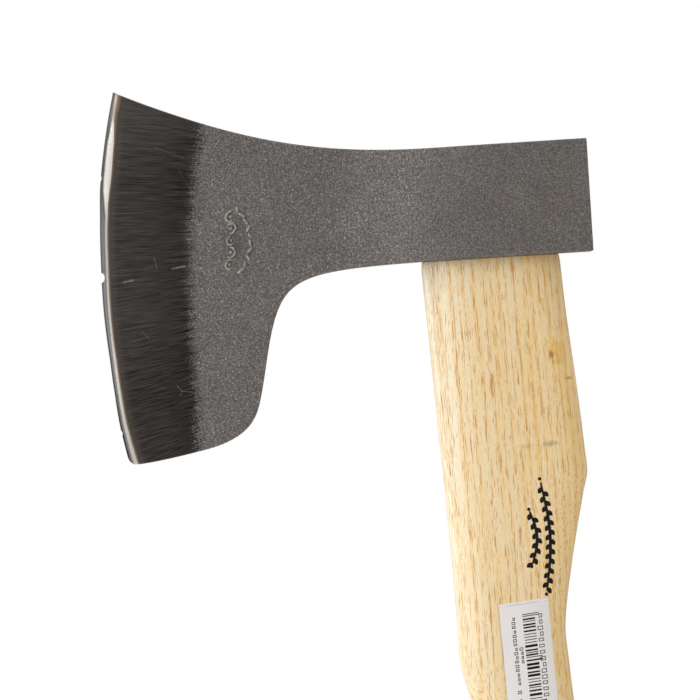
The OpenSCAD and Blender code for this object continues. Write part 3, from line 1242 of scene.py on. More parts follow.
@dataclass(frozen=True)
class AxeHead:
    """The forged head. Its cheeks are as thick as the distance back from the edge says, and its
    outline is a poll, a top line, a curved edge and a beard."""

    poll_x: float = 37.0
    height: float = 40.5
    edge_x: float = 140.5
    edge_radius: float = 292.0
    edge_middle: float = -5.5
    bevel: float = 3.8
    settled: float = 12.0
    honing: Honing = Honing()
    ground: float = 33.0
    toe_z: float = 68.0
    heel_z: float = -63.4
    heel_low: tuple[float, float] = (-131.7, -66.3)
    top_bend: tuple[tuple[float, float], ...] = ((-88, 47), (-58, 40.5), (-18, 40.5))
    beard: tuple[tuple[tuple[float, float], ...], ...] = (
        ((-104, -62), (-92, -59), (-88, -54), (-86, -47)),
        ((-86, -47), (-83, -36), (-82, -27), (-79, -18)),
        ((-79, -18), (-73.5, -2.5), (-66, -0.5), (-25, 0)),
    )
    rim: Knots = Knots(((0.0, 0.4), (52.0, 0.5), (58.0, 1.0), (68.0, 1.0), (80.0, 0.6), (180.0, 0.5)))
    rim_share: float = 0.3
    poll_rim: float = 0.5
    plan: tuple[tuple[float, float], ...] = (
        (0.0, 0.63), (4.0, 1.08), (9.0, 1.66), (20.0, 2.82), (33.0, 4.2), (60.0, 6.9), (86.0, 9.6),
        (101.0, 12.6), (114.0, 15.8), (124.0, 17.9), (134.0, 19.2), (144.0, 19.5), (158.0, 19.4),
        (178.5, 18.5),
    )
    hone: Knots = Knots(((0.0, 0.03), (0.2, 0.31), (0.5, 0.6), (0.8, 0.86), (1.0, 1.0)))
    nicks: tuple[Nick, ...] = (Nick(1.6, 1.75, 1.15), Nick(37.2, 0.9, 0.28), Nick(-54.6, 0.8, 0.35))
    nick_fade: float = 4.0
    cheek_columns: int = 70

    @property
    def arc_centre(self) -> tuple[float, float]:
        """Centre of the cutting edge's arc, as x and z."""
        return self.edge_radius - self.edge_x, self.edge_middle

    def reach_back(self, x: Array, z: Array) -> Array:
        """Distance back from the cutting edge: its radius less the distance to its centre."""
        centre_x, centre_z = self.arc_centre
        return self.edge_radius - np.hypot(x - centre_x, z - centre_z)

    def half_thickness(self, back: Array, z: Array) -> Array:
        """Half the head's thickness at a distance back from the edge: a smooth curve over the
        cheek, and within the bevel a share of the cheek's thickness at the bevel's border."""
        width = self.honing.width.at(z)
        plan = np.array(self.plan)
        kept = np.maximum(back, width)
        cheek = knot_curve(plan[:, 0], plan[:, 1:], kept.ravel())[:, 0].reshape(kept.shape)
        return cheek * self.hone.at(np.clip(back / width, 0, 1))

    def squeezed(self, nominal: Array, z: Array) -> Array:
        """How far back a ring lies at some height: rings of the bevel are squeezed evenly into
        its width there, and the squeeze fades out behind it."""
        width = self.honing.width.at(z)
        inside = nominal * width / self.bevel
        behind = (nominal - self.bevel) / (self.settled - self.bevel)
        beyond = lerp(width, self.settled, behind)
        return np.where(nominal < self.bevel, inside, np.where(nominal < self.settled, beyond, nominal))

    def edge_at(self, z: float) -> float:
        """Where the cutting edge lies along x at a height."""
        centre_x, centre_z = self.arc_centre
        return centre_x - math.sqrt(self.edge_radius**2 - (z - centre_z) ** 2)

    def top_line(self) -> Array:
        """The head's upper outline from the toe back to the poll, as rows of x and z."""
        toe = (self.edge_at(self.toe_z), self.toe_z)
        sweep = bezier([toe, *self.top_bend], 160)
        flat = np.linspace(self.top_bend[-1], (self.poll_x - self.poll_rim, self.height), 40)
        return np.concatenate([sweep, flat[1:]])

    def bottom_line(self) -> Array:
        """The lower outline from the heel round the beard and back to the poll."""
        start = (self.edge_at(self.heel_z), self.heel_z)
        low_x, low_z = self.heel_low
        spans = [
            [start, (start[0] + 0.3, start[1] - 1.6), (low_x - 1.3, low_z), self.heel_low],
            [self.heel_low, (low_x + 3.0, low_z), (-118, -65), self.beard[0][0]],
            *self.beard,
        ]
        curved = [bezier(span, 60)[:-1] for span in spans]
        flat = np.linspace(self.beard[-1][-1], (self.poll_x - self.poll_rim, 0), 40)
        return np.concatenate([*curved, flat])

    def line_ends(self, line: Array, back: Array, side: float) -> tuple[Array, Array]:
        """Points of an outline at some distances back, and the outward normals there.

        Args:
            line: the outline, as rows of x and z.
            back: nominal distances back from the edge. Past 100 they are stretched so that the
                last one lands on the outline's last point.
            side: 1 for the upper outline, and -1 for the lower one.

        Returns:
            The points and the normals, each as rows of x and z.
        """
        even = 100.0
        own = np.maximum.accumulate(self.reach_back(line[:, 0], line[:, 1]))
        stretch = (own[-1] - even) / (back[-1] - even)
        near = self.squeezed(back, np.full_like(back, line[0, 1]))
        wanted = np.where(back < even, near, even + (back - even) * stretch)
        points = np.stack([np.interp(wanted, own, line[:, k]) for k in (0, 1)], -1)
        run = np.gradient(line, axis=0)
        run /= np.linalg.norm(run, axis=1)[:, None]
        across = np.stack([-run[:, 1], run[:, 0]], -1) * side
        normals = np.stack([np.interp(wanted, own, across[:, k]) for k in (0, 1)], -1)
        return points, normals / np.linalg.norm(normals, axis=1)[:, None]

    def columns(self) -> Array:
        """Shares of the way up a cheek, closer together at the chips in the edge."""
        even = np.linspace(0, 1, self.cheek_columns)
        tall = self.toe_z - self.heel_z
        near = [(n.z - self.heel_z + np.linspace(-1.4, 1.4, 17) * n.half) / tall for n in self.nicks]
        return np.unique(np.round(np.concatenate([even, *near]), 6))

    def nick_depth(self, z: Array) -> Array:
        """How far the chips set the edge back at a height: each is a rounded notch whose depth
        goes as the square root of 1 less the square of the share of its half length."""
        depth = np.zeros_like(z)
        for nick in self.nicks:
            depth += nick.depth * np.sqrt(np.clip(1 - ((z - nick.z) / nick.half) ** 2, 0, 1))
        return depth

    def half_rings(
        self,
        top: Array,
        top_normal: Array,
        bottom: Array,
        bottom_normal: Array,
        nominal: Array,
        inset: Array,
        bow: Array,
    ) -> Array:
        """The near half of each ring round the head, from the middle of its lower rim up the
        cheek to the middle of its upper rim.

        Args:
            top: the rings' upper ends on the outline, as rows of x and z.
            top_normal: the outline's outward normals there.
            bottom: the rings' lower ends.
            bottom_normal: the normals there.
            nominal: the rings' nominal distances back from the edge.
            inset: how far each ring is drawn in all round, for the poll's rounded border.
            bow: 1 where a ring follows the edge's arc, and 0 where it is straight.

        Returns:
            Points as rings x points x 3.
        """
        centre_x, centre_z = self.arc_centre
        share = self.columns()[None, :]
        edges = []
        for end, normal in ((bottom, bottom_normal), (top, top_normal)):
            reach = self.reach_back(end[:, 0], end[:, 1])
            thick = self.half_thickness(reach, end[:, 1]) - inset
            radius = np.minimum(self.rim.at(reach), self.rim_share * thick)
            edges.append((end - radius[:, None] * normal, radius))
        (lower, lower_radius), (upper, upper_radius) = edges
        z = lerp(lower[:, 1:], upper[:, 1:], share)
        stray = self.honing.stray.at(z)
        straight = lerp(lower[:, :1], upper[:, :1], share)
        column = nominal[:, None]
        slip = [
            self.reach_back(p[:, :1], p[:, 1:]) - self.squeezed(column, p[:, 1:]) for p in (lower, upper)
        ]
        back = self.squeezed(column, z) + lerp(slip[0], slip[1], share)
        fade = np.clip(1 - back / self.nick_fade, 0, 1)
        back = back + self.nick_depth(z) * fade
        arc = centre_x - np.sqrt((self.edge_radius - back) ** 2 - (z - centre_z) ** 2)
        stray = stray * (1 - smoothstep(2, 30, back)) * np.clip(6 * share, 0, 1)
        x = lerp(straight, arc, bow[:, None]) + stray
        cheek_back = np.where(bow[:, None] > 0.999, back, self.reach_back(x, z))
        cheek = self.half_thickness(cheek_back, z) - inset[:, None]
        side = np.stack([x, -cheek, z], -1)

        def rim_part(end: Array, normal: Array, half: Array, radius: Array) -> Array:
            """From the cheek round the rim's quarter circle to the rim's middle."""
            turn = np.linspace(0, np.pi / 2, 7)[None, 1:]
            r = radius[:, None]
            out = r * np.sin(turn)
            y_turn = half[:, None] - r + r * np.cos(turn)
            flat = np.linspace(1, 0, 5)[None, 1:]
            y_flat = (half[:, None] - r) * flat
            out = np.concatenate([out, np.repeat(r, flat.shape[1], axis=1)], axis=1)
            y = np.concatenate([y_turn, y_flat], axis=1)
            spot = end[:, None, :] + out[:, :, None] * normal[:, None, :]
            return np.stack([spot[:, :, 0], -y, spot[:, :, 1]], -1)

        over = rim_part(side[:, -1][:, [0, 2]], top_normal, cheek[:, -1], upper_radius)
        under = rim_part(side[:, 0][:, [0, 2]], bottom_normal, cheek[:, 0], lower_radius)
        return np.concatenate([under[:, ::-1], side, over], axis=1)

    def rings(self) -> Array:
        """All rings from the cutting edge to the poll's face, each closed by its mirror image."""
        fine = [0, 0.25, 0.6, 1.0, 1.5, 2.0, 2.6, 3.0, 3.4, 3.7, 3.8, 3.9, 4.2, 4.8, 5.6]
        fine += [6.6, 7.6, 8.4, 9.0, 9.6, 10.6]
        back = np.concatenate([fine, np.arange(12, 174, 1.5)])
        top, top_normal = self.line_ends(self.top_line(), back, 1)
        bottom, bottom_normal = self.line_ends(self.bottom_line(), back, -1)
        bow = 1 - smoothstep(90, 140, back)
        no_inset = np.zeros_like(back)
        body = self.half_rings(top, top_normal, bottom, bottom_normal, back, no_inset, bow)

        turn = np.linspace(0, np.pi / 2, 8)[1:]
        x = self.poll_x - self.poll_rim * (1 - np.sin(turn))
        inset = self.poll_rim * (1 - np.cos(turn))
        up = np.repeat([[0.0, 1.0]], len(turn), axis=0)
        poll = self.half_rings(
            np.stack([x, self.height - inset], -1),
            up,
            np.stack([x, inset], -1),
            -up,
            np.full_like(x, back[-1]),
            inset,
            np.zeros_like(x),
        )
        halves = np.concatenate([body, poll])
        mirrored = halves[:, -2:0:-1] * np.array([1, -1, 1])
        return np.concatenate([halves, mirrored], axis=1)

    def build(self, datum: Datum, eye: Eye) -> Piece:
        """The head as one mesh, with its eye cut through."""
        head = skin_piece(ring_skin(self.rings()), "forged_head", datum)
        cut_away(head, eye.cutter(datum))
        smooth(head.data)
        crease(head)
        return hand_over(head, "forged_steel", "axe_head")

    def finish(self, datum: Datum) -> ForgedSteel:
        """The steel, with its zones set by this head's edge."""
        centre_x, centre_z = self.arc_centre
        return ForgedSteel(
            "blasted_and_ground_steel",
            datum,
            centre=(centre_x, 0.0, centre_z),
            radius=self.edge_radius,
            honing=self.honing,
            ground=self.ground,
        )


@dataclass(frozen=True)
class RaisedMark:
    """A plain raised ornament on the near cheek, worn down: a column of curls, each round a
    bead, inside a bow of short bars."""

    head: AxeHead
    centre: tuple[float, float] = (-90.0, 12.0)
    curls: int = 5
    curl_pitch: float = 4.3
    curl_radius: float = 1.6
    column_off: float = 2.6
    column_bow: float = 0.10
    column_lean: float = 0.35
    bars: int = 10
    bow_radius: float = 17.0
    bow_off: float = 4.3
    bow_angle: float = 80.0
    stroke: float = 0.50
    rise: float = 0.70
    seed: int = 3

    def on_cheek(self, x: Array, z: Array, out: Array) -> Array:
        """Points at x and z, raised over the near cheek."""
        back = self.head.reach_back(x, z)
        return np.stack([x, -self.head.half_thickness(back, z) - out, z], -1)

    def bar(self, x: float, z: float, half: float, degrees: float) -> Skin:
        """A bead drawn out along a direction, half sunk into the cheek. Its height goes as the
        square root of a ball's, so that its crown is nearly flat."""
        points, faces = bead_skin()
        turn = math.radians(degrees)
        p = points[:, 0] * half
        q = points[:, 1] * self.stroke
        along = x + p * math.cos(turn) - q * math.sin(turn)
        up = z + p * math.sin(turn) + q * math.cos(turn)
        return self.on_cheek(along, up, signed_power(points[:, 2], 0.5) * self.rise), faces

    def curl(self, x: float, z: float, radius: float, start: float, sweep: float) -> Skin:
        """A long bead bent round an arc, so that it thins out at both ends.

        Args:
            x: the arc's centre.
            z: the arc's centre.
            radius: the arc's radius.
            start: direction of the curl's first end, in degrees.
            sweep: how far round the curl goes, in degrees.
        """
        points, faces = bead_skin(around=48, up=6)
        turn = np.radians(start + sweep * (points[:, 0] + 1) / 2)
        reach = radius * (1 + 0.12 * np.sin(2 * turn)) + points[:, 1] * self.stroke
        out = signed_power(points[:, 2], 0.5) * self.rise
        return self.on_cheek(x + reach * np.cos(turn), z + 1.15 * reach * np.sin(turn), out), faces

    def finish(self, steel: ForgedSteel) -> ForgedSteel:
        """The head's steel, paler: partly rubbed brighter, partly a painted highlight on the raised
        strokes.
        """
        return replace(
            steel,
            name="rubbed_highlit_steel",
            # A lighter copy of the steel: rubbed tone and painted highlight together.
            blasted_light=paint(206, 202, 197),
            blasted_dark=paint(146, 142, 138),
        )

    def build(self, datum: Datum) -> Piece:
        """The ornament as one mesh of closed skins."""
        skins = Skins()
        draw = np.random.default_rng(self.seed)
        x, z = self.centre
        middle = (self.curls - 1) / 2
        for k in range(self.curls):
            off = k - middle
            column = x - self.column_off - self.column_bow * off * off + self.column_lean * off
            place = (column, z + off * self.curl_pitch)
            start = 70.0 + 180 * (k % 2) + draw.uniform(-35, 35)
            radius = self.curl_radius * draw.uniform(0.85, 1.1)
            skins.add(*self.curl(*place, radius, start, draw.uniform(190, 285)))
            skins.add(*self.bar(*place, 0.45 * radius, draw.uniform(0, 180)))
        for k in range(self.bars):
            angle = lerp(-self.bow_angle / 2, self.bow_angle / 2, k / (self.bars - 1))
            turn = math.radians(angle)
            bar_x = x - self.bow_radius + self.bow_off + self.bow_radius * math.cos(turn)
            bar_z = z + self.bow_radius * math.sin(turn)
            lean = angle + 90 + draw.uniform(10, 55) * (1 if k % 3 else -1)
            skins.add(*self.bar(bar_x, bar_z, draw.uniform(1.0, 1.6), lean))
        return hand_over(skins.build("raised_mark", datum), "forged_steel")


# --- Handle -------------------------------------------------------------------------------


@dataclass(frozen=True)
class Handle:
    """The curved ash handle. Each station gives a section's height, front, back, width and the
    slant of the section in degrees."""

    eye: Eye
    stations: tuple[tuple[float, float, float, float, float], ...] = (
        (0, -24.6, 24.7, 26.4, 0), (-3, -24.9, 25.1, 27, 0), (-20, -24.2, 26, 27.4, 0),
        (-50, -23, 28.4, 28, 0), (-72, -22.1, 29.8, 28.2, 0), (-79, -21.8, 30.1, 28, 0),
        (-86, -21.5, 28.3, 27.8, 0), (-110, -20.6, 22.8, 27, 0), (-133, -20.1, 18.8, 26.4, 0),
        (-146, -19.8, 19.2, 26, 0), (-158, -16.9, 19.9, 25.8, 0), (-175, -12, 21.2, 25.6, 0),
        (-200, -8.4, 23.2, 25.4, 0), (-240, -5.4, 25.6, 25.2, 0), (-280, -5, 26.4, 25.6, 2),
        (-320, -7.4, 25.4, 26.6, 6), (-350, -12, 24, 28, 10), (-376, -19.5, 23.2, 29.4, 14),
        (-394, -25.6, 22.4, 30, 18), (-404, -26.4, 20.6, 29, 18), (-409, -24.2, 17.6, 26, 18),
    )
    shoulder: float = 0.5
    butt_round: float = 1.4
    oval: float = 2.5
    points: int = 96
    kerf_gap: float = 0.12
    tenon_gap: float = 0.06
    tenon_chamfer: float = 0.35

    def section(self, z: Array) -> Array:
        """Front, back, width and slant at some heights, on smooth curves through the stations."""
        rows = np.array(self.stations, float)
        return knot_curve(-rows[:, 0], rows[:, 1:], -z)

    def rings(self, z: Array, inset: Array) -> Array:
        """Oval rings at some heights, each drawn in by its inset and tipped by its slant."""
        front, back, width, slant = (v[:, None] for v in self.section(z).T)
        angle = np.linspace(0, 2 * np.pi, self.points, endpoint=False)[None, :]
        tip = np.radians(slant)
        u = ((back - front) / 2 - inset[:, None]) * signed_power(np.cos(angle), 2 / self.oval)
        v = (width / 2 - inset[:, None]) * signed_power(np.sin(angle), 2 / self.oval)
        x = (front + back) / 2 + u * np.cos(tip)
        return np.stack([x, v, z[:, None] - u * np.sin(tip)], -1)

    def surface_y(self, x: Array, z: Array) -> Array:
        """The near surface of the wood: minus half the width, times the oval's share there."""
        flat = z.ravel()
        front, back, width, _ = self.section(flat).T
        u = np.abs(x.ravel() - (front + back) / 2) / ((back - front) / 2)
        return (-width / 2 * (1 - np.minimum(u, 0.999) ** self.oval) ** (1 / self.oval)).reshape(x.shape)

    def on_wood(self, x: Array, z: Array, out: float) -> Array:
        """Points at x and z, raised over the near surface of the wood."""
        return np.stack([x, self.surface_y(x, z) - out, z], -1)

    def build(self, datum: Datum, cutters: Sequence[Piece]) -> Piece:
        """The handle as one mesh: sawn tenon, rounded shoulder, grip and butt.

        Args:
            datum: where the head frame lies.
            cutters: the tools that open the tenon for its wedges.
        """
        tenon_levels = np.array([self.eye.tenon_top, self.eye.tenon_top - 0.4, 30, 20, 10, 0.0])
        shrink = np.array([-self.tenon_chamfer, *[-self.tenon_gap] * 5])
        tenon = self.eye.rings(tenon_levels, shrink)
        turn = np.linspace(0, np.pi / 2, 6)
        r = self.shoulder
        shoulder = self.rings(-r * (1 - np.cos(turn)), r * (1 - np.sin(turn)))
        bottom = self.stations[-1][0]
        z = np.arange(-r - 1.0, bottom + self.butt_round + 0.5, -1.5)
        grip = self.rings(z, np.zeros_like(z))
        b = self.butt_round
        end_z = bottom + b * (1 - np.sin(turn))
        butt = self.rings(end_z, b * (1 - np.cos(turn)))
        skin = ring_skin(np.concatenate([tenon, shoulder, grip, butt]))
        handle = skin_piece(skin, "ash_handle", datum)
        for tool in cutters:
            cut_away(handle, tool)
        smooth(handle.data)
        crease(handle)
        return hand_over(handle, "ash_wood", "handle")

    def finish(self, datum: Datum) -> OiledWood:
        """Pale ash, with a small knot behind the eye, two smudges, darker sawn ends and a faint painted
        shadow just under the head.
        """
        return OiledWood(
            "oiled_ash",
            datum,
            pith=(-78.0, -44.0, 0.0),
            lean=(0.02, 0.0, 0.0),
            spacing=2.7,
            pore=0.27,
            pore_length=6.0,
            pale=paint(235, 223, 195),
            warm=paint(235, 192, 110),
            pore_tone=paint(200, 134, 44),
            end_tone=paint(188, 150, 98),
            end_top=self.eye.tenon_top,
            end_bottom=self.stations[-1][0] - 6.0,
            # Painted shade towards larger x and a painted sheen towards smaller x, over heartwood and
            # sapwood tone.
            heart_and_shade=(-14.0, 26.0),
            sap_and_sheen=(-22.0, -14.0),
            blots=(
                WoodBlot((21.4, -12.0, -34.8), (5.2, 9.0, 6.4), paint(230, 174, 56), 0.9, 2.0),
                WoodBlot((19.6, -12.0, -36.0), (1.9, 6.0, 1.9), paint(150, 96, 32), 0.85, 1.9),
                WoodBlot((25.6, -9.0, -45.0), (2.4, 6.0, 0.9), paint(160, 122, 80), 0.7, 1.4),
                WoodBlot((-20.0, -9.0, -8.0), (5.0, 9.0, 9.0), paint(190, 168, 138), 0.36, 1.8),
                WoodBlot((17.4, -12.0, -68.0), (4.4, 8.0, 1.5), paint(140, 116, 88), 0.6, 1.5),
                WoodBlot((8.4, -12.0, -68.4), (4.6, 8.0, 1.2), paint(176, 148, 110), 0.45, 1.4),
                # Painted shadow: a faint dark band across the wood just under the head.
                WoodBlot((4.0, -12.0, -2.0), (40.0, 40.0, 3.0), paint(176, 140, 92), 0.14, 1.2),
            ),
        )


# --- Wedges -------------------------------------------------------------------------------


@dataclass(frozen=True)
class Wedge:
    """One tapered wedge driven into the tenon."""

    thick: float
    width: float
    depth: float
    x: float = 0.0
    turn: float = 0.0
    tip_share: float = 0.2

    def rings(self, top: float, grow: float, soft: float) -> Array:
        """Rounded oblong rings from the tip up to the head of the wedge: a circle of the corner
        size carried round an oblong, which thickens evenly with height.

        Args:
            top: height of the wedge's head.
            grow: how much larger the rings are all round, and how far they run past the top.
            soft: size of the rounding round the head.

        Returns:
            The rings, as levels x points x 3.
        """
        share = np.array([0.0, 0.03, 0.5, 1.0])
        z = top - self.depth * (1 - share)
        half_thick = self.thick * lerp(self.tip_share, 1.0, share) / 2 + grow
        inset = np.array([0.15, 0.0, 0.0, 0.0])
        if soft > 0:
            bend = np.radians([0, 30, 60, 90])
            z = np.concatenate([z[:-1], top - soft * (1 - np.sin(bend))])
            half_thick = np.concatenate([half_thick[:-1], np.full(4, half_thick[-1])])
            inset = np.concatenate([inset[:-1], soft * (1 - np.cos(bend))])
        if grow > 0:
            z[-1] += 2.0
        corner = 0.5
        angle = np.linspace(0, 2 * np.pi, 24, endpoint=False) + 1e-9
        a, b = np.cos(angle), np.sin(angle)
        flat_x = self.width / 2 + grow - corner - inset
        flat_y = np.maximum(half_thick - corner - inset, 0.02)
        corner_y = np.minimum(half_thick - inset, corner)
        u = np.sign(a)[None, :] * flat_x[:, None] + corner * a[None, :]
        v = np.sign(b)[None, :] * flat_y[:, None] + corner_y[:, None] * b[None, :]
        v[:, [0, 12]] = 0.0
        turn = math.radians(self.turn)
        x = self.x + u * math.cos(turn) - v * math.sin(turn)
        y = u * math.sin(turn) + v * math.cos(turn)
        return np.stack([x, y, np.repeat(z[:, None], len(angle), axis=1)], -1)

    def skin(self, top: float, grow: float = 0.0, soft: float = 0.0) -> Skin:
        """The wedge's closed skin."""
        return ring_skin(self.rings(top, grow, soft))


@dataclass(frozen=True)
class WedgeSet:
    """The wooden wedge along the eye and the two steel wedges across it."""

    eye: Eye
    wood: Wedge = Wedge(thick=5.0, width=60.0, depth=30.0)
    steel: tuple[Wedge, ...] = (
        Wedge(thick=3.2, width=19.0, depth=22.0, x=-11.5, turn=112.0),
        Wedge(thick=3.2, width=19.0, depth=22.0, x=11.5, turn=112.0),
    )
    steel_soft: float = 0.45
    wood_soft: float = 0.3
    split_gap: float = 0.05
    eye_gap: float = 0.08

    def cutters(self, datum: Datum, gap: float) -> list[Piece]:
        """The tools that open the tenon a gap wider than each wedge."""
        return [
            skin_piece(wedge.skin(self.eye.tenon_top, grow=gap), f"kerf_tool_{number}", datum)
            for number, wedge in enumerate((self.wood, *self.steel))
        ]

    def build(self, datum: Datum) -> Piece:
        """The two steel wedges as one mesh, their heads rounded over by the hammer."""
        skins = Skins()
        for wedge in self.steel:
            skins.add(*wedge.skin(self.eye.tenon_top, soft=self.steel_soft))
        pair = skins.build("driven_steel_wedges", datum)
        crease(pair, degrees=40)
        return hand_over(pair, "wedge_steel", "steel_wedges")

    def build_wooden(self, datum: Datum) -> Piece:
        """The wooden wedge: cut to the eye's oval, split by the steel wedges, with its head
        crushed a little above the tenon."""
        top = self.eye.tenon_top
        wedge = skin_piece(self.wood.skin(top, soft=self.wood_soft), "split_wooden_wedge", datum)
        levels = np.array([-1.0, 0.0, 10.0, 20.0, 30.0, top + 2.0])
        oval = ring_skin(self.eye.rings(levels, np.full(len(levels), -self.eye_gap))[::-1])
        cut_away(wedge, skin_piece(oval, "eye_tool", datum), keep_inside=True)
        for number, steel in enumerate(self.steel):
            kerf = steel.skin(top, grow=self.split_gap)
            cut_away(wedge, skin_piece(kerf, f"split_tool_{number}", datum))
        crease(wedge)
        return hand_over(wedge, "beech_wood", "wooden_wedge")

    def wooden_finish(self, datum: Datum) -> OiledWood:
        """Beech for the wooden wedge, which shows its sawn end."""
        return OiledWood(
            "wedge_beech",
            datum,
            pith=(0.0, 60.0, 0.0),
            lean=(0.0, 0.0, 0.0),
            spacing=1.7,
            pore=0.3,
            pore_length=2.5,
            pale=paint(206, 164, 116),
            warm=paint(180, 132, 86),
            pore_tone=paint(120, 78, 44),
            end_tone=paint(160, 116, 74),
            end_top=self.eye.tenon_top,
            end_bottom=-20.0,
            heart_and_shade=(-40.0, 40.0),
            sap_and_sheen=(-60.0, -50.0),
        )


# --- Label and inked sprigs ---------------------------------------------------------------


class PrintMark(Enum):
    """Shapes that the label is printed with, as their half length and half height shares."""

    BLOCK = (1.0, 1.0)
    TALL = (0.8, 1.0)
    SHORT = (1.0, 0.62)


@dataclass(frozen=True)
class BlockRow:
    """A row of printed blocks on the label: its left and right limits, where it starts and ends
    down the label, how far apart the blocks start, how long each is, and the share left out."""

    left: float
    right: float
    start: float
    end: float
    pitch: float
    long: float
    skip: float = 0.0


@dataclass(frozen=True)
class Label:
    """A small paper label with bars and plain blocks. Places on it are measured in millimetres
    from its left side (across) and down from its upper edge (down)."""

    handle: Handle
    width: float = 18.0
    length: float = 40.0
    thick: float = 0.15
    glue: float = 0.04
    x: float = 4.6
    z: float = -143.8
    edge_slope: float = 5.1
    side_lean: float = 1.8
    press: float = 0.34
    press_from: float = 0.5
    press_reach: float = 1.0
    ink: float = 0.02
    ink_grid: float = 0.8
    bar_left: float = 8.1
    bar_right: float = 12.6
    guard_right: float = 14.1
    bars_start: float = 4.7
    module: float = 0.33
    bar_count: int = 30
    bar_share: float = 0.9
    lower_margin: float = 1.0
    bar_seed: int = 11
    block_stroke: float = 0.26
    block_seed: int = 5

    def spot(self, across: Array, down: Array, out: float) -> Array:
        """A place on the label as a point over the wood. The paper stands off the wood a little,
        except along its upper edge, which is pressed down on it."""
        a = across - self.width / 2
        b = self.length / 2 - down
        slope, lean = math.radians(self.edge_slope), math.radians(self.side_lean)
        x = self.x + a * math.cos(slope) - b * math.sin(lean)
        z = self.z + a * math.sin(slope) + b * math.cos(lean)
        lift = self.press * smoothstep(self.press_from, self.press_reach, down)
        points = self.handle.on_wood(x, z, self.glue + out)
        points[..., 1] -= lift
        return points

    def finish(self, datum: Datum) -> CoatedPaper:
        """Coated paper, folded along the line where the pressed strip ends, with painted shade along the
        fold.
        """
        lean = math.radians(self.side_lean)
        up = self.length / 2 - self.press_reach
        place = (self.x - up * math.sin(lean), self.z + up * math.cos(lean))
        return CoatedPaper("coated_paper", datum, fold_place=place, fold_slope=self.edge_slope)

    def patch(self, left: float, right: float, upper: float, lower: float) -> Skin:
        """A printed patch: a thin slab that lies on the paper between four limits."""
        columns = max(2, int(math.ceil((right - left) / self.ink_grid)) + 1)
        rows = max(2, int(math.ceil((lower - upper) / self.ink_grid)) + 1)
        across, down = np.meshgrid(np.linspace(left, right, columns), np.linspace(upper, lower, rows))
        return slab_skin(
            self.spot(across, down, self.thick + self.ink),
            self.spot(across, down, self.thick - self.ink),
        )

    def sheet(self, datum: Datum) -> Piece:
        """The paper itself, a thin slab that follows the wood."""
        across, down = np.meshgrid(
            np.linspace(0, self.width, 28),
            np.concatenate([np.linspace(0, self.press_reach, 14), np.linspace(1.6, self.length, 50)]),
        )
        skin = slab_skin(self.spot(across, down, self.thick), self.spot(across, down, 0.0))
        sheet = skin_piece(skin, "paper_label", datum)
        crease(sheet, degrees=40)
        return hand_over(sheet, "label_paper", "barcode_label")

    def bars(self, datum: Datum) -> Piece:
        """A plain pattern of bars. Bar and gap widths are whole modules drawn with a fixed seed,
        and the first, middle and last pairs are longer."""
        draw = np.random.default_rng(self.bar_seed)
        widths = draw.choice([1, 1, 1, 2, 2, 3], self.bar_count) * self.module
        gaps = draw.choice([1, 1, 2, 2], self.bar_count) * self.module
        starts = self.bars_start + np.concatenate([[0], np.cumsum(widths + gaps)[:-1]])
        middle = self.bar_count // 2
        long = {0, 1, middle, middle + 1, self.bar_count - 2, self.bar_count - 1}
        skins = Skins()
        for k, (start, width) in enumerate(zip(starts, widths)):
            right = self.guard_right if k in long else self.bar_right
            if start + width < self.length - self.lower_margin:
                end = float(start + width * self.bar_share)
                skins.add(*self.patch(self.bar_left, right, float(start), end))
        return hand_over(skins.build("label_bars", datum), "black_ink")

    def blocks(self, datum: Datum) -> Piece:
        """Rows of plain blocks in place of words and figures: one beside the bars, one long row
        and one short row."""
        draw = np.random.default_rng(self.block_seed)
        rows = (
            BlockRow(13.2, 15.1, 5.3, self.length - 3.0, 2.2, 1.5),
            BlockRow(4.0, 5.3, 5.4, self.length - 1.5, 1.55, 1.1, skip=0.12),
            BlockRow(6.0, 7.3, 16.4, 23.0, 1.55, 1.1),
        )
        stroke = self.block_stroke
        skins = Skins()
        for row in rows:
            count = int((row.end - row.start) / row.pitch)
            kinds = draw.choice(list(PrintMark), count)
            shown = draw.random(count) >= row.skip
            for k in np.flatnonzero(shown):
                share_long, share_high = kinds[k].value
                down = row.start + k * row.pitch
                reach = row.long * share_long
                right = row.right
                inner = row.left + (right - row.left) * (1 - share_high)
                for a, b, c, d in (
                    (inner, inner + stroke, down, down + reach),
                    (right - stroke, right, down, down + reach),
                    (inner + stroke, right - stroke, down, down + stroke),
                    (inner + stroke, right - stroke, down + reach - stroke, down + reach),
                ):
                    skins.add(*self.patch(a, b, c, d))
        return hand_over(skins.build("label_blocks", datum), "black_ink")


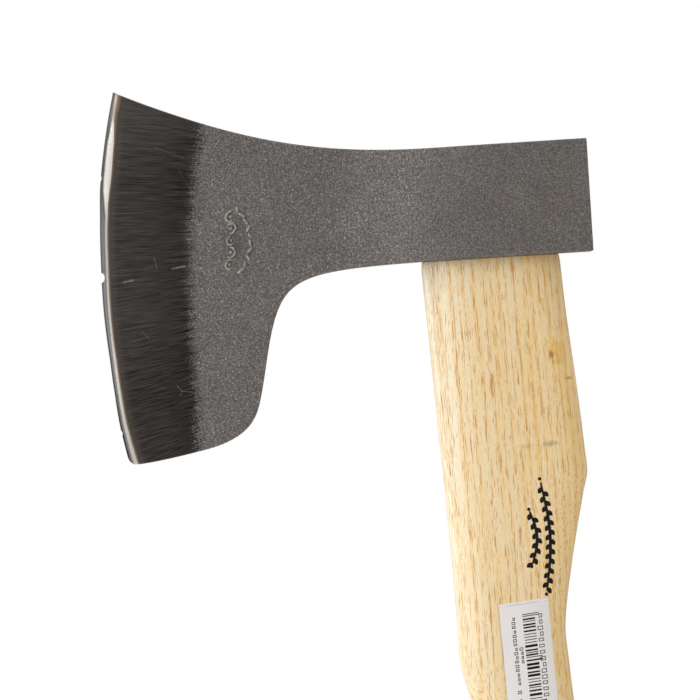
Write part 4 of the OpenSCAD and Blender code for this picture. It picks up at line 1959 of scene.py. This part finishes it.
@dataclass(frozen=True)
class Sprig:
    """A stem with leaves, drawn in ink on the near side of the handle."""

    start: tuple[float, float]
    end: tuple[float, float]
    bow: float
    leaves: int
    leaf_long: float = 2.7
    leaf_wide: float = 0.86
    leaf_angle: float = 38.0
    stem_wide: float = 0.56
    berry: float = 0.62

    def stem(self, share: Array) -> tuple[Array, Array]:
        """Points along the stem and its direction there: a straight line bowed sideways by half
        a sine wave."""
        start, end = np.array(self.start), np.array(self.end)
        run = end - start
        sideways = np.array([-run[1], run[0]]) / np.linalg.norm(run)
        share = share[:, None]
        points = start + run * share + self.bow * np.sin(np.pi * share) * sideways
        heading = run + self.bow * np.pi * np.cos(np.pi * share) * sideways
        return points, heading / np.linalg.norm(heading, axis=1)[:, None]

    def strokes(self) -> list[tuple[Array, Array]]:
        """Grids of x and z for the stem and for every leaf. A leaf's half width goes as the sine
        of the share of its length."""
        share = np.linspace(0, 1, 60)
        points, heading = self.stem(share)
        normal = np.stack([-heading[:, 1], heading[:, 0]], -1)
        taper = self.stem_wide * (0.55 + 0.45 * np.sin(np.pi * share))
        across = np.linspace(-1, 1, 3)
        grids = [points[:, None, :] + (taper[:, None] * across)[:, :, None] * normal[:, None, :]]
        roots, ways = self.stem(np.linspace(0.04, 0.97, self.leaves))
        along = np.linspace(0, 1, 11)
        for k, (root, way) in enumerate(zip(roots, ways)):
            turn = math.radians(self.leaf_angle if k % 2 else -self.leaf_angle)
            c, s = math.cos(turn), math.sin(turn)
            out = np.array([way[0] * c - way[1] * s, way[0] * s + way[1] * c])
            side = np.array([-out[1], out[0]])
            half = self.leaf_wide * np.sin(np.pi * np.clip(along, 0.02, 0.98)) ** 0.8
            spine = root + along[:, None] * self.leaf_long * out
            grids.append(spine[:, None, :] + (half[:, None] * across)[:, :, None] * side)
        for place, way in zip(*self.stem(np.array([-0.035, 1.035]))):
            side = np.array([-way[1], way[0]])
            reach = np.cos(np.linspace(0.96, 0.04, 9) * np.pi)
            half = np.sqrt(1 - reach**2)
            spine = place + reach[:, None] * self.berry * way
            grids.append(spine[:, None, :] + (self.berry * half[:, None] * across)[:, :, None] * side)
        return [(g[:, :, 0], g[:, :, 1]) for g in grids]


@dataclass(frozen=True)
class InkedSprigs:
    """The two inked sprigs on the handle."""

    handle: Handle
    sprigs: tuple[Sprig, ...] = (
        Sprig((12.8, -81.8), (12.7, -120.6), 2.3, 22),
        Sprig((8.2, -91.8), (8.0, -111.0), 2.2, 11),
    )
    film: float = 0.03

    def build(self, datum: Datum) -> Piece:
        """Every stroke as a thin film that follows the wood."""
        skins = Skins()
        for sprig in self.sprigs:
            for x, z in sprig.strokes():
                skins.add(
                    *slab_skin(
                        self.handle.on_wood(x, z, self.film), self.handle.on_wood(x, z, -self.film)
                    )
                )
        return hand_over(skins.build("inked_sprigs", datum), "black_ink")


# --- Studio -------------------------------------------------------------------------------


@dataclass(frozen=True)
class Softbox:
    """One soft light, placed and sized by angles seen from the middle of the object."""

    name: str
    left: float
    up: float
    wide: float
    tall: float
    radiance: float
    distance: float = 2.2
    tint: tuple[float, float, float] = (1.0, 1.0, 1.0)

    def build(self, aim: Vector) -> None:
        """Makes the light. Its power is pi times its area times its radiance."""
        turn, rise = math.radians(self.left), math.radians(self.up)
        away = Vector(
            (-math.sin(turn) * math.cos(rise), -math.cos(turn) * math.cos(rise), math.sin(rise))
        )
        size = [2 * self.distance * math.tan(math.radians(v) / 2) for v in (self.wide, self.tall)]
        light = bpy.data.lights.new(self.name, "AREA")
        light.shape = "RECTANGLE"
        light.size, light.size_y = size
        light.energy = math.pi * size[0] * size[1] * self.radiance
        light.color = self.tint
        lamp = bpy.data.objects.new(self.name, light)
        lamp.location = aim + away * self.distance
        lamp.rotation_mode = "QUATERNION"
        lamp.rotation_quaternion = (-away).to_track_quat("-Z", "Y")
        lamp.visible_camera = False
        bpy.context.scene.collection.objects.link(lamp)


@dataclass(frozen=True)
class Studio:
    """Camera, lights, backdrop and floor."""

    datum: Datum
    aim: tuple[float, float] = (-52.4, -30.0)
    field: float = 252.0
    distance: float = 4000.0
    lens: float = 200.0
    roll: float = 3.64
    floor_radius: float = 1.5
    front_reach: Limits = (0.80, 0.95)
    room_strength: Limits = (0.30, 0.08)
    softboxes: tuple[Softbox, ...] = (
        Softbox("edge_light", 34, 2, 30, 46, 0.6),
        Softbox("key_light", 62, 15, 38, 44, 3.1, distance=1.4),
        Softbox("fill_light", -44, 12, 50, 54, 1.15, tint=(1.0, 0.95, 0.84)),
        Softbox("top_light", 10, 82, 60, 60, 1.4),
        Softbox("rear_left_light", 118, 20, 50, 60, 2.2),
        Softbox("rear_right_light", -128, 24, 44, 50, 0.6, tint=(1.0, 0.94, 0.84)),
    )

    def camera(self) -> None:
        """A long lens square to the cheek, rolled so that the poll stands a little higher."""
        place = self.datum.place(np.array([self.aim[0], -self.distance, self.aim[1]]))
        data = bpy.data.cameras.new("camera")
        data.sensor_width = self.lens * self.field / self.distance
        data.lens = self.lens
        data.clip_end = 50.0
        camera = bpy.data.objects.new("camera", data)
        roll = math.radians(self.roll)
        right = Vector((math.cos(roll), 0.0, -math.sin(roll)))
        up = Vector((math.sin(roll), 0.0, math.cos(roll)))
        turn = Matrix((right, up, Vector((0.0, -1.0, 0.0)))).transposed()
        camera.matrix_world = Matrix.Translation(Vector(place)) @ turn.to_4x4()
        bpy.context.scene.collection.objects.link(camera)
        bpy.context.scene.camera = camera

    def world(self) -> None:
        """White for the eye, and for everything else a grey room that is dark in front."""
        world = bpy.data.worlds.new("studio")
        world.use_nodes = True
        bpy.context.scene.world = world
        nodes = Nodes(world.node_tree)
        world.node_tree.nodes.clear()
        towards = nodes.add("ShaderNodeTexCoord").outputs["Generated"]
        y = nodes.split(towards)[1]
        front = nodes.ramp(nodes.times(y, -1.0), *self.front_reach, *self.room_strength)
        room = nodes.add("ShaderNodeBackground")
        nodes.feed(room.inputs["Strength"], front)
        wall = nodes.add("ShaderNodeBackground")
        wall.inputs["Color"].default_value = (1.0, 1.0, 1.0, 1.0)
        wall.inputs["Strength"].default_value = 1.0
        choice = nodes.add("ShaderNodeMixShader")
        nodes.feed(choice.inputs[0], nodes.add("ShaderNodeLightPath").outputs["Is Camera Ray"])
        nodes.feed(choice.inputs[1], room.outputs[0])
        nodes.feed(choice.inputs[2], wall.outputs[0])
        nodes.feed(nodes.add("ShaderNodeOutputWorld").inputs["Surface"], choice.outputs[0])

    def floor(self) -> Piece:
        """A round pale floor under the butt: rings of points, each a share of the radius out."""
        low = CAD_BOX[0].z
        around, out = 96, np.linspace(0.02, 1, 12) * self.floor_radius
        angle = np.linspace(0, 2 * np.pi, around, endpoint=False)
        x = out[:, None] * np.cos(angle)
        y = out[:, None] * np.sin(angle)
        points = np.stack([x, y, np.full_like(x, low)], -1).reshape(-1, 3)
        index = np.arange(len(points)).reshape(len(out), around)
        index = np.concatenate([index, index[:, :1]], axis=1)
        faces = [*grid_quads(index, True).tolist(), list(range(around))]
        mesh = bpy.data.meshes.new("floor")
        mesh.from_pydata(points.tolist(), [], faces)
        mesh.update()
        floor = bpy.data.objects.new("floor", mesh)
        bpy.context.scene.collection.objects.link(floor)
        material = bpy.data.materials.new("pale_floor")
        material.use_nodes = True
        shader = next(n for n in material.node_tree.nodes if n.type == "BSDF_PRINCIPLED")
        shader.inputs["Base Color"].default_value = paint(240, 239, 237)
        shader.inputs["Roughness"].default_value = 0.9
        shader.inputs["Specular IOR Level"].default_value = 0.0
        mesh.materials.append(material)
        return floor

    def build(self) -> None:
        """Sets the whole studio up."""
        self.camera()
        self.world()
        self.floor()
        low, high = CAD_BOX
        middle = (low + high) / 2
        aim = Vector((middle.x, 0.0, high.z - self.field * MM / 4))
        for softbox in self.softboxes:
            softbox.build(aim)
        bpy.context.scene.view_settings.view_transform = "Standard"


# --- Hatchet ------------------------------------------------------------------------------


def report(piece: Piece) -> None:
    """Logs a piece's name and how many points and faces it has."""
    LOG.info("%s: %d points, %d faces", piece.name, len(piece.data.vertices), len(piece.data.polygons))


def main() -> None:
    """Builds the studio and every piece of the hatchet."""
    logging.basicConfig(level=logging.INFO, format="%(name)s: %(message)s")
    eye = Eye()
    datum = Datum.from_frame(eye.tenon_top)
    Studio(datum).build()

    head = AxeHead()
    handle = Handle(eye)
    wedges = WedgeSet(eye)
    label = Label(handle)

    steel = head.finish(datum)
    forged = head.build(datum, eye)
    stamp = RaisedMark(head)
    mark = stamp.build(datum)
    steel.dress(forged)
    stamp.finish(steel).dress(mark)

    wood = handle.build(datum, wedges.cutters(datum, handle.kerf_gap))
    handle.finish(datum).dress(wood)

    driven = wedges.build(datum)
    HammeredSteel("hammered_steel", datum).dress(driven)
    wooden = wedges.build_wooden(datum)
    wedges.wooden_finish(datum).dress(wooden)

    sheet = label.sheet(datum)
    label.finish(datum).dress(sheet)
    bars, blocks = label.bars(datum), label.blocks(datum)
    sprigs = InkedSprigs(handle).build(datum)
    DryInk("dry_ink", datum).dress(bars, blocks, sprigs)

    for piece in (forged, mark, wood, driven, wooden, sheet, bars, blocks, sprigs):
        report(piece)


if __name__ == "__main__":
    main()
